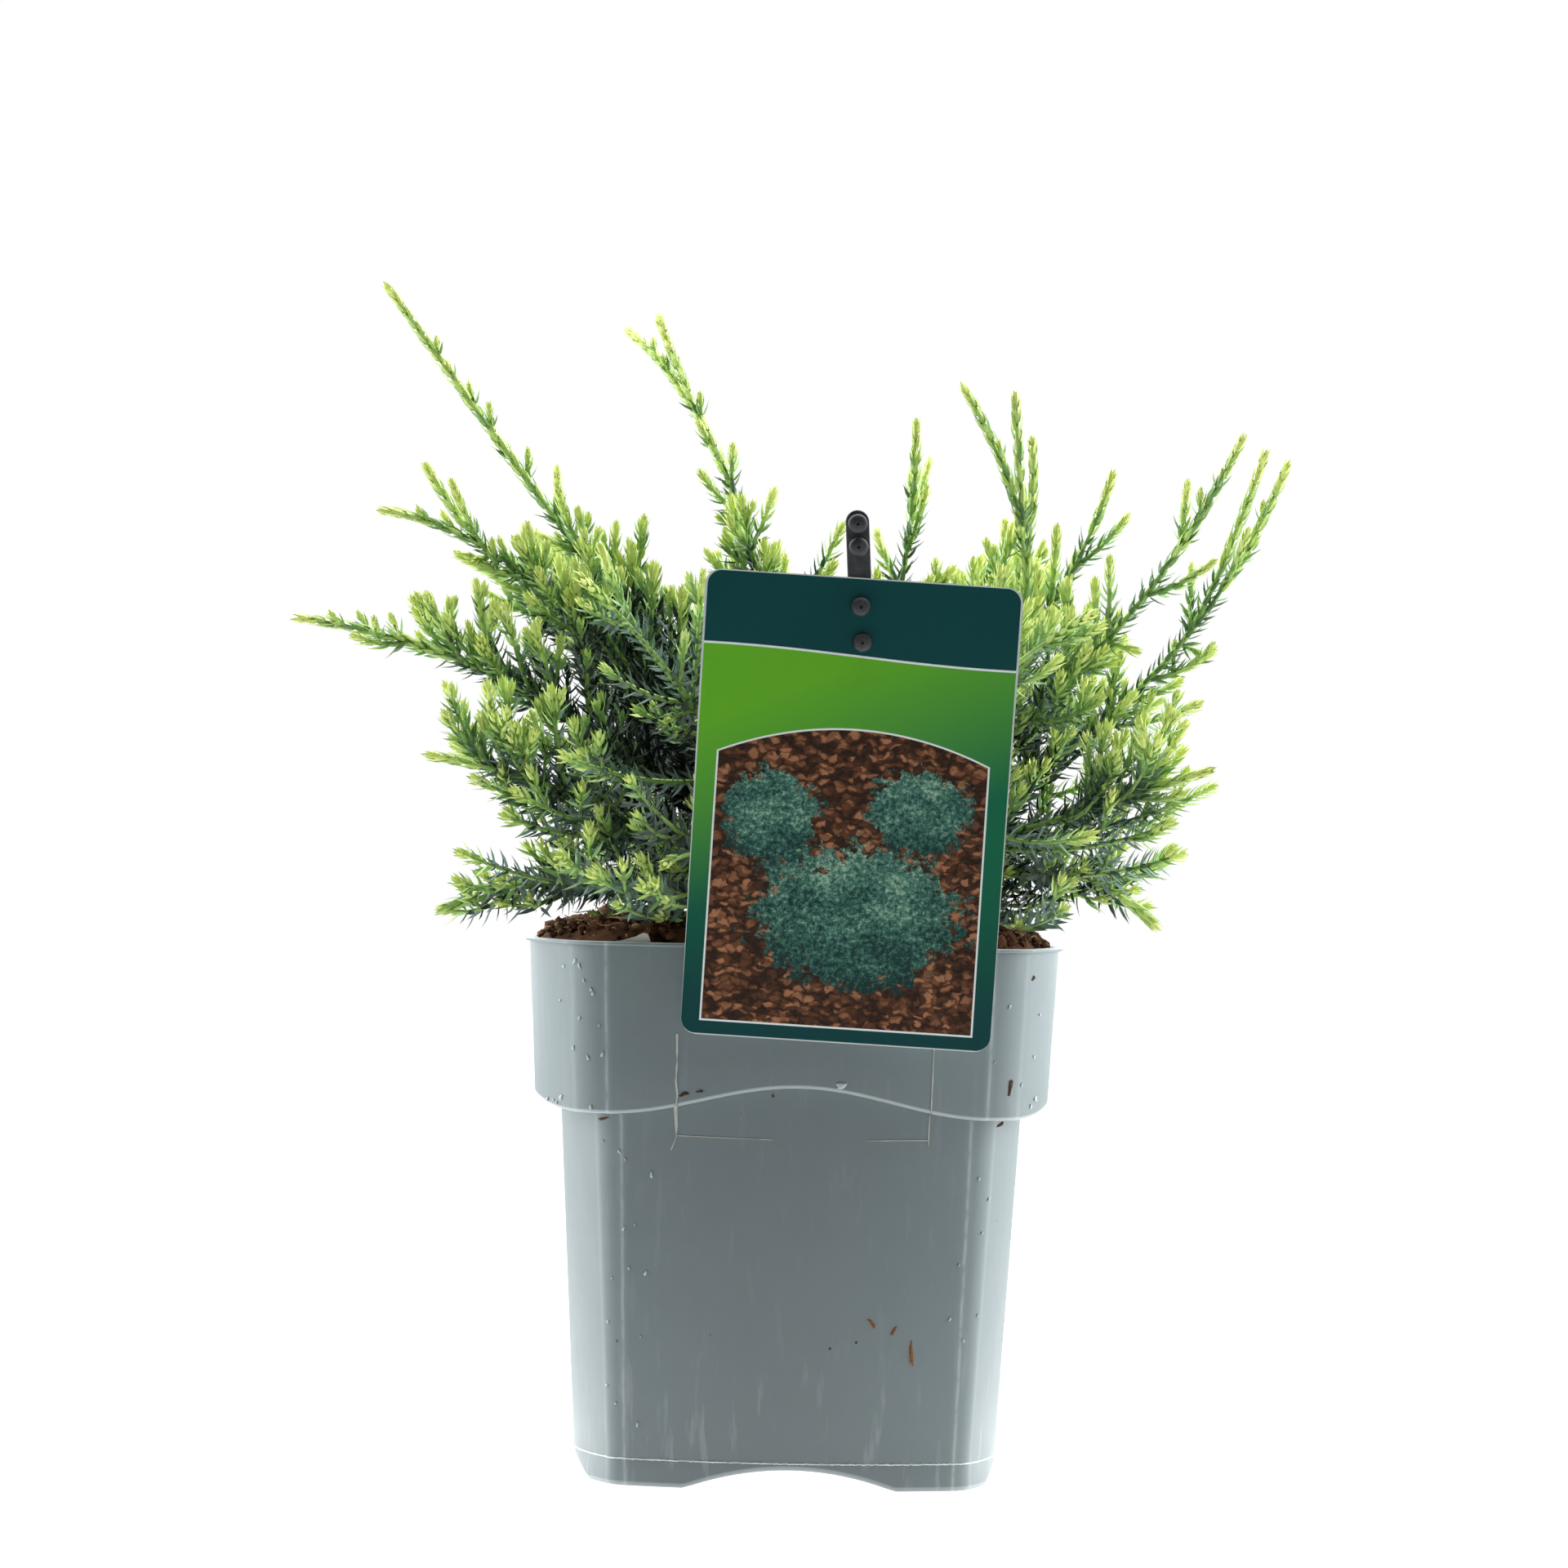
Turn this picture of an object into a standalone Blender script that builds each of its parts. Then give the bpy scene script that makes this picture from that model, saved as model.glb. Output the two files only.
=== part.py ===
"""A flaky juniper in a square nursery pot, with its picture label and label holder.

Lengths are metres, +Z is up and the front faces -Y. The origin lies under the middle
of the plant, on the surface that the pot stands on.
"""

import math

import bmesh
import bpy
import numpy as np
from mathutils import Matrix, Vector

MM = 0.001
GAP = 0.3 * MM

# The pot. Each level of its wall is a rounded square: half its width, the distance from
# the middle of a side to the crease where the corner starts, and how far the side bows.
POT_HEIGHT = 175 * MM
BASE = (69.0 * MM, 52.7 * MM, 10.5 * MM)
SHOULDER = (75.6 * MM, 56.0 * MM, 11.0 * MM)
COLLAR_FOOT = (84.1 * MM, 59.0 * MM, 12.0 * MM)
COLLAR_TOP = (86.6 * MM, 60.4 * MM, 12.0 * MM)
WALL = 1.6 * MM
FOOT_WIDTH = 2.4 * MM
BEVEL = 1.5 * MM
FLOOR_UNDER = 8.6 * MM
FLOOR_TOP = 10.4 * MM
ARCH_HALF = 33.7 * MM
ARCH_RISE = 6.5 * MM
LIP_LOW = 119.8 * MM
LIP_WAVE = 9.6 * MM
SIDE_LIP_WAVE = 4.0 * MM
LIP_WAVE_HALF = 62 * MM
LIP_ROUND = 1.2 * MM
BEAD_TALL = 1.4 * MM
BEAD_OUT = 1.5 * MM
SIDE_STEPS = 10
CORNER_STEPS = 4
CREASE_TURN = math.radians(2)
DRAIN_RADIUS = 8 * MM
DRAIN_AWAY = 36 * MM
DRAIN_PLACES = (
    (0, 0),
    (DRAIN_AWAY, DRAIN_AWAY),
    (-DRAIN_AWAY, DRAIN_AWAY),
    (-DRAIN_AWAY, -DRAIN_AWAY),
    (DRAIN_AWAY, -DRAIN_AWAY),
)

# The soil, heaped above the rim and level round the trunk.
GROUND = 178 * MM
SOIL_AT_WALL = POT_HEIGHT - 2.5 * MM
SOIL_SLOPE = 12 * MM
SOIL_HEAP = 3.0 * MM
SOIL_WAVES = (17 * MM, 21 * MM)
SOIL_SIDE_RISE = 0.025
SOIL_RINGS = (5 * MM, 12 * MM, 24 * MM, 38 * MM, 52 * MM, 67 * MM)
TRUNK_PATCH = 20 * MM
PATCH_EDGE = 14 * MM

# The trunk, a short leaning stem with a root flare.
TRUNK_TALL = 34 * MM
TRUNK_RADIUS = 6.2 * MM
FLARE_RADIUS = 10.5 * MM
FLARE_TALL = 9 * MM
TRUNK_TOP_RADIUS = 4.6 * MM
TRUNK_LEAN = (2.0 * MM, 1.5 * MM)
TRUNK_SIDES = 12
TRUNK_RINGS = (0, 2 * MM, 5 * MM, 9 * MM, 16 * MM, 24 * MM, TRUNK_TALL - 2 * MM, TRUNK_TALL)
TRUNK_BUTTRESS = 0.12

# Twigs and needles.
BOUGH_ROOT = 2.2 * MM
BOUGH_TIP = 1.6 * MM
BOUGH_SIDES = 5
BOUGH_STEPS = 6
STEM_RADIUS = 1.5 * MM
SHOOT_RADIUS = 1.15 * MM
TIP_RADIUS = 0.6 * MM
STEM_PITCH = 11 * MM
SHOOT_PITCH = 8.5 * MM
NEEDLE_OUT = 4.6 * MM
NEEDLE_ON = 6.0 * MM
SHOOTS_A_MASS = 6
SHOOT_ORDERS = 7
SHOOT_SIZES = (1.0, 0.8, 0.62, 0.45)
FIRST_SHOOT = 0.05
SHOOT_OPEN = (math.radians(58), math.radians(34))
LEADER_SHOOTS_END = 0.50
BUSHY_SHOOTS_END = 0.80
LEADER_TAPER = 0.75
BUSHY_TAPER = 0.50
GOLDEN_TURN = math.radians(137.5)
UPWARD_BEND = 0.34
SHORTEST_SHOOT = 11 * MM
SPACE_MARGIN = 0.6 * MM
RIM_SPACE = 92 * MM
LABEL_SPACE = (-44 * MM, 74 * MM, -81 * MM)
SEED = 23

# The picture label, 100 mm by 148 mm, a little wider at its top, and its two holes.
LABEL_WIDTH = (98.6 * MM, 101.4 * MM)
LABEL_TALL = 148 * MM
LABEL_THICK = 0.5 * MM
LABEL_ROUND = 5 * MM
LABEL_BACK = -89.8 * MM
LABEL_TURN = math.radians(2.6)
LABEL_HOLE_RADIUS = 2.5 * MM
LABEL_HOLE_DEPTH = 8 * MM
LABEL_MIDDLE = Vector((14.2 * MM, LABEL_BACK, 218.3 * MM))

# The label holder, a flat stake with four cone studs. The lower two carry the label.
STUD_FOOT = Vector((17.0 * MM, 0, 271.9 * MM))
STUD_HEIGHTS = (0, 11.4 * MM, 30.4 * MM, 37.8 * MM)
STUD_RADIUS = 2.2 * MM
STUD_TIP_RADIUS = 1.2 * MM
STUD_OUT = 4.6 * MM
STAKE_WIDTH = 7.5 * MM
STAKE_THICK = 2.2 * MM
STAKE_ABOVE = 42 * MM
STAKE_BELOW = 136 * MM
STAKE_TIP = 10 * MM
STAKE_SIDE_LEAN = math.radians(-3.5)
STAKE_LEAN = math.radians(4.2)
STAKE_FRONT = -88.0 * MM

# Each stem is a bough that goes on as the main stem of its mass of foliage. It lies in an
# upright plane at its bearing, in degrees from +X towards the back: the reach and the
# height of its tip, then those of the knee that it bends at, the height at which it
# leaves the trunk, the share of it that is bare bough, and its longest side shoots. All
# lengths are in millimetres, heights above the soil.
STEMS = {
    "left_leader": (166, 142, 210, 72, 118, 27, 0.22, 40),
    "left_upper": (182, 137, 135, 80, 128, 18, 0.28, 36),
    "left_outer": (191, 168, 99, 88, 92, 14, 0.24, 34),
    "left_mid": (206, 132, 55, 70, 46, 9, 0.28, 36),
    "left_low": (193, 117, 6, 62, 26, 5, 0.32, 24),
    "front_left": (238, 139, 112, 78, 88, 18, 0.26, 40),
    "front_low_left": (245, 104, 22, 60, 34, 7, 0.34, 28),
    "centre_leader": (126, 98, 200, 22, 162, 32, 0.26, 34),
    "right_inner": (52, 63, 169, 66, 98, 18, 0.34, 28),
    "right_leader": (-38, 64, 177, 138, 80, 28, 0.26, 32),
    "right_rear_leader": (24, 84, 163, 92, 88, 27, 0.28, 32),
    "right_upper": (-3, 101, 151, 84, 90, 20, 0.28, 32),
    "right_outer": (13, 166, 157, 128, 60, 12, 0.26, 32),
    "right_twin": (-18, 147, 162, 108, 78, 15, 0.28, 32),
    "right_mid": (-26, 144, 55, 84, 36, 9, 0.28, 34),
    "right_low": (3, 118, 5, 84, 40, 4, 0.38, 24),
    "front_right": (-52, 144, 104, 80, 80, 18, 0.26, 40),
    "front_middle": (-95, 74, 92, 56, 50, 12, 0.38, 28),
    "back_left": (145, 134, 122, 76, 92, 10, 0.26, 40),
    "back_right": (48, 132, 126, 76, 90, 10, 0.26, 40),
    "back_middle": (96, 118, 108, 70, 86, 14, 0.26, 40),
    "back_low_left": (120, 126, 28, 66, 34, 6, 0.30, 30),
    "back_low_right": (70, 124, 26, 66, 32, 7, 0.30, 30),
}

COLOURS = {
    "pot": ((0.145, 0.175, 0.180, 1), 0.38),
    "soil": ((0.050, 0.030, 0.020, 1), 0.95),
    "bark": ((0.140, 0.075, 0.045, 1), 0.85),
    "foliage": ((0.130, 0.260, 0.060, 1), 0.60),
    "label": ((0.030, 0.230, 0.110, 1), 0.35),
    "holder": ((0.035, 0.037, 0.042, 1), 0.45),
}


def clear_scene():
    for thing in list(bpy.data.objects):
        bpy.data.objects.remove(thing, do_unlink=True)


def material(name):
    """The plain material of one kind of sub-part, made once."""
    if name in bpy.data.materials:
        return bpy.data.materials[name]
    made = bpy.data.materials.new(name)
    made.use_nodes = True
    shader = made.node_tree.nodes["Principled BSDF"]
    colour, roughness = COLOURS[name]
    shader.inputs["Base Color"].default_value = colour
    shader.inputs["Roughness"].default_value = roughness
    made.diffuse_color = colour
    return made


def solid(name, points, faces, kind):
    """An object from points and faces, its faces turned outwards."""
    mesh = bpy.data.meshes.new(name)
    mesh.from_pydata([tuple(p) for p in points], [], faces)
    work = bmesh.new()
    work.from_mesh(mesh)
    bmesh.ops.recalc_face_normals(work, faces=work.faces)
    work.to_mesh(mesh)
    work.free()
    mesh.materials.append(material(kind))
    made = bpy.data.objects.new(name, mesh)
    bpy.context.scene.collection.objects.link(made)
    return made


def bake(thing):
    """Keeps what the object's modifiers show as its own mesh."""
    graph = bpy.context.evaluated_depsgraph_get()
    mesh = bpy.data.meshes.new_from_object(thing.evaluated_get(graph))
    thing.modifiers.clear()
    thing.data = mesh


def combine(thing, others, operation, solver="EXACT"):
    """Fuses the others into a thing, or cuts them from it, and removes them."""
    group = bpy.data.collections.new(thing.name + "_tools")
    bpy.context.scene.collection.children.link(group)
    for other in others:
        group.objects.link(other)
    step = thing.modifiers.new(operation.lower(), "BOOLEAN")
    step.operation = operation
    step.operand_type = "COLLECTION"
    step.collection = group
    step.solver = solver
    bake(thing)
    for other in others:
        bpy.data.objects.remove(other, do_unlink=True)
    bpy.data.collections.remove(group)


def tidy(thing):
    """Closes hair-thin leftovers of a Boolean and keeps only the largest body."""
    work = bmesh.new()
    work.from_mesh(thing.data)
    bmesh.ops.remove_doubles(work, verts=work.verts, dist=0.001 * MM)
    bmesh.ops.dissolve_degenerate(work, edges=work.edges, dist=0.001 * MM)
    bmesh.ops.triangulate(work, faces=work.faces)
    left = set(work.faces)
    bodies = []
    while left:
        body, front = set(), [left.pop()]
        while front:
            face = front.pop()
            body.add(face)
            paired = [edge for edge in face.edges if len(edge.link_faces) == 2]
            near = {other for edge in paired for other in edge.link_faces} & left
            left -= near
            front.extend(near)
        bodies.append(body)
    keep = max(bodies, key=len)
    loose = [face for face in work.faces if face not in keep]
    bmesh.ops.delete(work, geom=loose, context="FACES")
    work.to_mesh(thing.data)
    work.free()


def quarter(level):
    """One side of a level and the corner after it, as (along, out) pairs.

    The side bows outwards as a parabola between its creases. The corner is an arc that
    leaves the crease a little more steeply than the side ends.
    """
    half, crease, bow = level
    edge = half - bow
    start = math.atan(2 * bow / crease) + CREASE_TURN
    radius = (edge - crease) / (math.cos(start) - math.sin(start))
    centre = crease - radius * math.sin(start)
    pairs = []
    for i in range(SIDE_STEPS):
        along = crease * (2 * i / SIDE_STEPS - 1)
        pairs.append((along, half - bow * (along / crease) ** 2))
    for i in range(CORNER_STEPS):
        turn = start + (math.pi / 2 - 2 * start) * i / CORNER_STEPS
        pairs.append((centre + radius * math.sin(turn), centre + radius * math.cos(turn)))
    return pairs


def ring(level, height):
    """The closed outline of a level. Height is a number or a function of along and turn.

    Turn counts the sides from the front, so it is odd on the left and the right.
    """
    points = []
    for turn in range(4):
        angle = turn * math.pi / 2
        for along, out in quarter(level):
            x = along * math.cos(angle) + out * math.sin(angle)
            y = along * math.sin(angle) - out * math.cos(angle)
            z = height(along, turn) if callable(height) else height
            points.append((x, y, z))
    return points


def inset(level, by):
    """The same outline moved inwards by a distance, all its sizes in proportion."""
    share = (level[0] - by) / level[0]
    return level[0] - by, level[1] * share, level[2] * share


def lathe_faces(rings, count):
    """Side faces of stacked rings of the same count, closed by one face at each end."""
    faces = [tuple(range(count))[::-1]]
    for level in range(rings - 1):
        for i in range(count):
            j = (i + 1) % count
            a, b = level * count, (level + 1) * count
            faces.append((a + i, a + j, b + j, b + i))
    faces.append(tuple((rings - 1) * count + i for i in range(count)))
    return faces


def arch(along, turn):
    """The low arch in the middle of each side of the foot."""
    return ARCH_RISE * max(0.0, 1 - (along / ARCH_HALF) ** 2)


def lip(along, turn):
    """The wavy lower edge of the collar, highest in the middle of each side."""
    share = min(abs(along) / LIP_WAVE_HALF, 1)
    wave = SIDE_LIP_WAVE if turn % 2 else LIP_WAVE
    return LIP_LOW + wave * (1 + math.cos(math.pi * share)) / 2


def raised(curve, by):
    """A curve of heights, moved up by a distance."""
    return lambda along, turn: curve(along, turn) + by


def cylinder(name, radius, low, high, place, kind, sides=16):
    made = bmesh.new()
    spot = Matrix.Translation((place[0], place[1], (low + high) / 2))
    bmesh.ops.create_cone(
        made,
        cap_ends=True,
        segments=sides,
        radius1=radius,
        radius2=radius,
        depth=high - low,
        matrix=spot,
    )
    mesh = bpy.data.meshes.new(name)
    made.to_mesh(mesh)
    made.free()
    mesh.materials.append(material(kind))
    thing = bpy.data.objects.new(name, mesh)
    bpy.context.scene.collection.objects.link(thing)
    return thing


def make_pot():
    """The thin-walled pot: foot, body, shoulder, collar, bead, and its inside."""
    inner_foot = inset(BASE, BEVEL + FOOT_WIDTH)
    shells = [
        ring(inner_foot, FLOOR_UNDER),
        ring(inner_foot, arch),
        ring(inset(BASE, BEVEL), arch),
        ring(BASE, raised(arch, BEVEL)),
        ring(BASE, FLOOR_UNDER),
        ring(SHOULDER, raised(lip, LIP_ROUND)),
        ring(inset(COLLAR_FOOT, LIP_ROUND), lip),
        ring(COLLAR_FOOT, raised(lip, LIP_ROUND)),
        ring(COLLAR_TOP, POT_HEIGHT - BEAD_TALL),
        ring(inset(COLLAR_TOP, -BEAD_OUT), POT_HEIGHT - BEAD_TALL),
        ring(inset(COLLAR_TOP, -BEAD_OUT), POT_HEIGHT),
        ring(inset(COLLAR_TOP, WALL), POT_HEIGHT),
        ring(inset(COLLAR_FOOT, WALL), raised(lip, LIP_ROUND + WALL)),
        ring(inset(SHOULDER, WALL), raised(lip, LIP_ROUND + WALL)),
        ring(inset(BASE, WALL), FLOOR_TOP),
    ]
    count = len(shells[0])
    points = [point for level in shells for point in level]
    pot = solid("pot", points, lathe_faces(len(shells), count), "pot")
    drains = []
    for i, place in enumerate(DRAIN_PLACES):
        drains.append(cylinder(f"drain_{i}", DRAIN_RADIUS, 0, 2 * FLOOR_TOP, place, "pot"))
    combine(pot, drains, "DIFFERENCE")
    tidy(pot)
    return pot


def soil_height(x, y, inside):
    """Height of the soil surface at a place that lies this far inside the wall."""
    heap = SOIL_HEAP * math.sin(x / SOIL_WAVES[0] + 1.3) * math.cos(y / SOIL_WAVES[1] + 0.4)
    left_and_right = SOIL_SIDE_RISE * abs(x)
    far = math.hypot(x, y)
    away = min(max((far - TRUNK_PATCH) / PATCH_EDGE, 0), 1)
    open_ground = GROUND + (heap + left_and_right) * away
    share = min(inside / SOIL_SLOPE, 1)
    rise = share * (2 - share)
    return SOIL_AT_WALL + (open_ground - SOIL_AT_WALL) * rise


def make_soil():
    """The soil that fills the pot, clear of its wall, with a heaped top."""
    clear = WALL + GAP
    shells = [
        ring(inset(BASE, clear), FLOOR_TOP + GAP),
        ring(inset(SHOULDER, clear), raised(lip, LIP_ROUND + WALL + GAP)),
        ring(inset(COLLAR_FOOT, clear), raised(lip, LIP_ROUND + WALL + GAP)),
        ring(inset(COLLAR_TOP, clear), SOIL_AT_WALL),
    ]
    edge = inset(COLLAR_TOP, clear)
    for inside in SOIL_RINGS:
        flat = ring(inset(edge, inside), 0)
        shells.append([(x, y, soil_height(x, y, inside)) for x, y, _ in flat])
    count = len(shells[0])
    points = [point for level in shells for point in level]
    centre = len(points)
    points.append((0, 0, GROUND))
    faces = lathe_faces(len(shells), count)
    faces.pop()
    last = (len(shells) - 1) * count
    for i in range(count):
        faces.append((last + i, last + (i + 1) % count, centre))
    soil = solid("soil", points, faces, "soil")
    pocket = stake_solid("pocket", GAP)
    combine(soil, [pocket], "DIFFERENCE")
    tidy(soil)
    return soil


def trunk_axis(height):
    """Centre of the trunk at a height above the soil."""
    share = height / TRUNK_TALL
    return np.array((TRUNK_LEAN[0] * share, TRUNK_LEAN[1] * share, GROUND + GAP + height))


def trunk_radius(height):
    flare = max(0.0, 1 - height / FLARE_TALL) ** 2
    taper = TRUNK_RADIUS + (TRUNK_TOP_RADIUS - TRUNK_RADIUS) * height / TRUNK_TALL
    return taper + (FLARE_RADIUS - TRUNK_RADIUS) * flare


def trunk_solid(name, grown):
    """The trunk, or the same grown by a clearance."""
    points = []
    for height in TRUNK_RINGS:
        x, y, z = trunk_axis(height)
        radius = trunk_radius(height) + grown
        if height == TRUNK_TALL:
            radius *= 0.7
            z += grown
        if height == 0:
            z -= grown
        for i in range(TRUNK_SIDES):
            turn = 2 * math.pi * i / TRUNK_SIDES
            foot = max(0.0, 1 - height / FLARE_TALL)
            out = radius * (1 + TRUNK_BUTTRESS * math.sin(3 * turn) * foot)
            points.append((x + out * math.cos(turn), y + out * math.sin(turn), z))
    return solid(name, points, lathe_faces(len(TRUNK_RINGS), TRUNK_SIDES), "bark")


def stem_path(name, count=41):
    """Points along the whole stem, from the trunk's axis to the tip of its mass.

    The stem is a quadratic curve from where it leaves the trunk, by its knee.
    """
    bearing, reach, height, knee_reach, knee_height, leave = STEMS[name][:6]
    turn = math.radians(bearing)
    way = np.array((math.cos(turn), math.sin(turn), 0))
    up = np.array((0, 0, 1.0))
    start = trunk_axis(leave * MM)
    ground = up * GROUND
    knee = ground + way * knee_reach * MM + up * knee_height * MM
    tip = ground + way * reach * MM + up * height * MM
    t = np.linspace(0, 1, count)[:, None]
    return (1 - t) ** 2 * start + 2 * t * (1 - t) * knee + t**2 * tip


def cut_path(path, start, end):
    """The stretch of a path between two distances along it."""
    steps = np.linalg.norm(np.diff(path, axis=0), axis=1)
    along = np.concatenate([[0], np.cumsum(steps)])
    start, end = max(start, 0), min(end, along[-1])
    count = max(int((end - start) / (4 * MM)), 2) + 1
    at = np.linspace(start, end, count)
    return np.stack([np.interp(at, along, path[:, k]) for k in range(3)], axis=1)


def path_length(path):
    return float(np.linalg.norm(np.diff(path, axis=0), axis=1).sum())


def resample(path, count):
    """A path of this many points, evenly spaced along the given one."""
    steps = np.linalg.norm(np.diff(path, axis=0), axis=1)
    along = np.concatenate([[0], np.cumsum(steps)])
    at = np.linspace(0, along[-1], count)
    return np.stack([np.interp(at, along, path[:, k]) for k in range(3)], axis=1)


def frames(path):
    """A tangent and two cross directions at each point, turning as little as they can."""
    tangents = np.gradient(path, axis=0)
    tangents /= np.linalg.norm(tangents, axis=1)[:, None]
    seed = np.array((0, 0, 1.0)) if abs(tangents[0][2]) < 0.8 else np.array((1.0, 0, 0))
    side = np.cross(tangents[0], seed)
    sides, ups = [], []
    for tangent in tangents:
        side = side - tangent * (side @ tangent)
        side = side / np.linalg.norm(side)
        sides.append(side)
        ups.append(np.cross(tangent, side))
    return tangents, np.array(sides), np.array(ups)


def tube_points(path, radii, sides, twist=0.0):
    """Rings of points round a path, each turned by twist against the one before."""
    _, across, up = frames(path)
    rings = []
    for k, (centre, radius) in enumerate(zip(path, radii)):
        turns = np.arange(sides) * 2 * math.pi / sides + twist * k
        ring_points = (
            centre
            + radius * np.cos(turns)[:, None] * across[k]
            + radius * np.sin(turns)[:, None] * up[k]
        )
        rings.append(ring_points)
    return np.array(rings)


def needled_shoot(path, radius, pitch, bare):
    """Points and faces of a shoot: a three-sided core that carries needles in threes.

    Past the bare rings at its root, each face of the core rises to the point of one
    needle, which leans forward along the shoot. The shoot ends in a needle point.
    """
    count = max(int(round(path_length(path) / pitch)), 2 + bare) + 1
    path = resample(path, count)
    radii = np.linspace(radius, TIP_RADIUS, count)
    rings = tube_points(path, radii, 3, math.radians(50))
    tangents, _, _ = frames(path)
    points = [p for level in rings for p in level]
    faces = [(2, 1, 0)]
    for k in range(count - 1):
        for i in range(3):
            j = (i + 1) % 3
            a, b, c, d = 3 * k + i, 3 * k + j, 3 * k + 3 + j, 3 * k + 3 + i
            if k < bare:
                faces.extend([(a, b, c), (a, c, d)])
                continue
            middle = (points[a] + points[b] + points[c] + points[d]) / 4
            centre = (path[k] + path[k + 1]) / 2
            out = middle - centre
            out /= np.linalg.norm(out)
            tangent = (tangents[k] + tangents[k + 1]) / 2
            shrink = 1 - 0.35 * k / count
            apex = centre + (out * NEEDLE_OUT + tangent * NEEDLE_ON) * shrink
            points.append(apex)
            faces.extend((p, q, len(points) - 1) for p, q in ((a, b), (b, c), (c, d), (d, a)))
    points.append(path[-1] + tangents[-1] * NEEDLE_ON)
    last = 3 * (count - 1)
    faces.extend((last + i, last + (i + 1) % 3, len(points) - 1) for i in range(3))
    return np.array(points), faces


def near_path(points, path):
    """Distance from each point to the nearest point of a path."""
    a, b = path[:-1], path[1:]
    step = b - a
    size = (step**2).sum(axis=1)
    offset = points[:, None, :] - a[None]
    t = np.clip((offset * step[None]).sum(axis=2) / size[None], 0, 1)
    nearest = a[None] + t[:, :, None] * step[None]
    return np.linalg.norm(points[:, None, :] - nearest, axis=2).min(axis=1)


def mass_start(name):
    return STEMS[name][6] * path_length(stem_path(name))


def inside_space(points, name):
    """True if points keep to a mass's own space.

    They stay nearer to its own stem than to any other, clear of every bough and the
    trunk, above the soil and the rim, and behind the label and its holder.
    """
    own = near_path(points, stem_path(name))
    for other in STEMS:
        path = stem_path(other)
        bough = cut_path(path, 0, mass_start(other))
        if near_path(points, bough).min() < BOUGH_ROOT + SPACE_MARGIN:
            return False
        if other != name and (near_path(points, path) < own + SPACE_MARGIN).any():
            return False
    x, y, z = points.T
    trunk = np.array([trunk_axis(0), trunk_axis(TRUNK_TALL)])
    if near_path(points, trunk).min() < FLARE_RADIUS + SPACE_MARGIN:
        return False
    if z.min() < GROUND + SOIL_HEAP + 2 * MM:
        over_pot = (np.abs(x) < RIM_SPACE) & (np.abs(y) < RIM_SPACE)
        if z[over_pot].min(initial=1) < GROUND + SOIL_HEAP + 2 * MM or z.min() < GROUND:
            return False
    left, right, front = LABEL_SPACE
    return not ((x > left) & (x < right) & (y < front)).any()


def side_shoot(stem, at, order, share, longest):
    """The path of one side shoot, from the stem's axis.

    It leaves the stem at its place in the golden-angle turn, less widely towards the
    stem's tip, and bends up. Its opening and length vary by a seeded draw.
    """
    draw = np.random.default_rng([SEED, order, int(at / MM)])
    steps = np.linalg.norm(np.diff(stem, axis=0), axis=1)
    along = np.concatenate([[0], np.cumsum(steps)])
    root = np.array([np.interp(at, along, stem[:, k]) for k in range(3)])
    tangents, across, up = frames(stem)
    k = min(int(np.searchsorted(along, at)), len(stem) - 1)
    turn = GOLDEN_TURN * order + draw.uniform(-0.35, 0.35)
    out = math.cos(turn) * across[k] + math.sin(turn) * up[k]
    opening = SHOOT_OPEN[0] + (SHOOT_OPEN[1] - SHOOT_OPEN[0]) * share
    opening *= draw.uniform(0.88, 1.12)
    way = math.cos(opening) * tangents[k] + math.sin(opening) * out
    length = longest * draw.uniform(0.85, 1.15)
    s = np.linspace(0, 1, 9)[:, None]
    rise = np.array((0, 0, UPWARD_BEND)) * s**2
    return root + length * (way * s + rise)


def make_bough(name):
    """The bare, tapering start of a stem, cut clear of the trunk."""
    path = resample(cut_path(stem_path(name), 0, mass_start(name) - GAP), BOUGH_STEPS + 1)
    radii = np.linspace(BOUGH_ROOT, BOUGH_TIP, BOUGH_STEPS + 1)
    rings = tube_points(path, radii, BOUGH_SIDES)
    points = rings.reshape(-1, 3)
    faces = lathe_faces(BOUGH_STEPS + 1, BOUGH_SIDES)
    bough = solid(f"bough_{name}", points, faces, "bark")
    combine(bough, [trunk_solid("trunk_space", GAP)], "DIFFERENCE")
    tidy(bough)
    return bough


def make_mass(name, index):
    """One mass of foliage: the stem's needled end and its side shoots, fused."""
    whole = stem_path(name)
    length = path_length(whole)
    start = mass_start(name)
    leader = "leader" in name
    end = LEADER_SHOOTS_END if leader else BUSHY_SHOOTS_END
    taper = LEADER_TAPER if leader else BUSHY_TAPER
    stem = cut_path(whole, start, length - NEEDLE_ON)
    points, faces = needled_shoot(stem, STEM_RADIUS, STEM_PITCH, 1)
    mass = solid(f"foliage_{name}", points, faces, "foliage")
    parts = []
    for i in range(SHOOTS_A_MASS):
        share = (i + 0.5) / SHOOTS_A_MASS
        at = start + (length - start) * (FIRST_SHOOT + (end - FIRST_SHOOT) * share)
        order = SHOOT_ORDERS * index + i
        for size in SHOOT_SIZES:
            longest = STEMS[name][7] * MM * size * (1 - taper * share)
            path = side_shoot(whole, at, order, share, longest)
            if path_length(path) < SHORTEST_SHOOT:
                break
            points, faces = needled_shoot(path, SHOOT_RADIUS, SHOOT_PITCH, 1)
            if inside_space(points[6:], name):
                parts.append(solid(f"{name}_shoot_{i}", points, faces, "foliage"))
                break
    # Many needles meet here, where the exact solver leaves walls of no thickness.
    combine(mass, parts, "UNION", "MANIFOLD")
    tidy(mass)
    return mass


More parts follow.
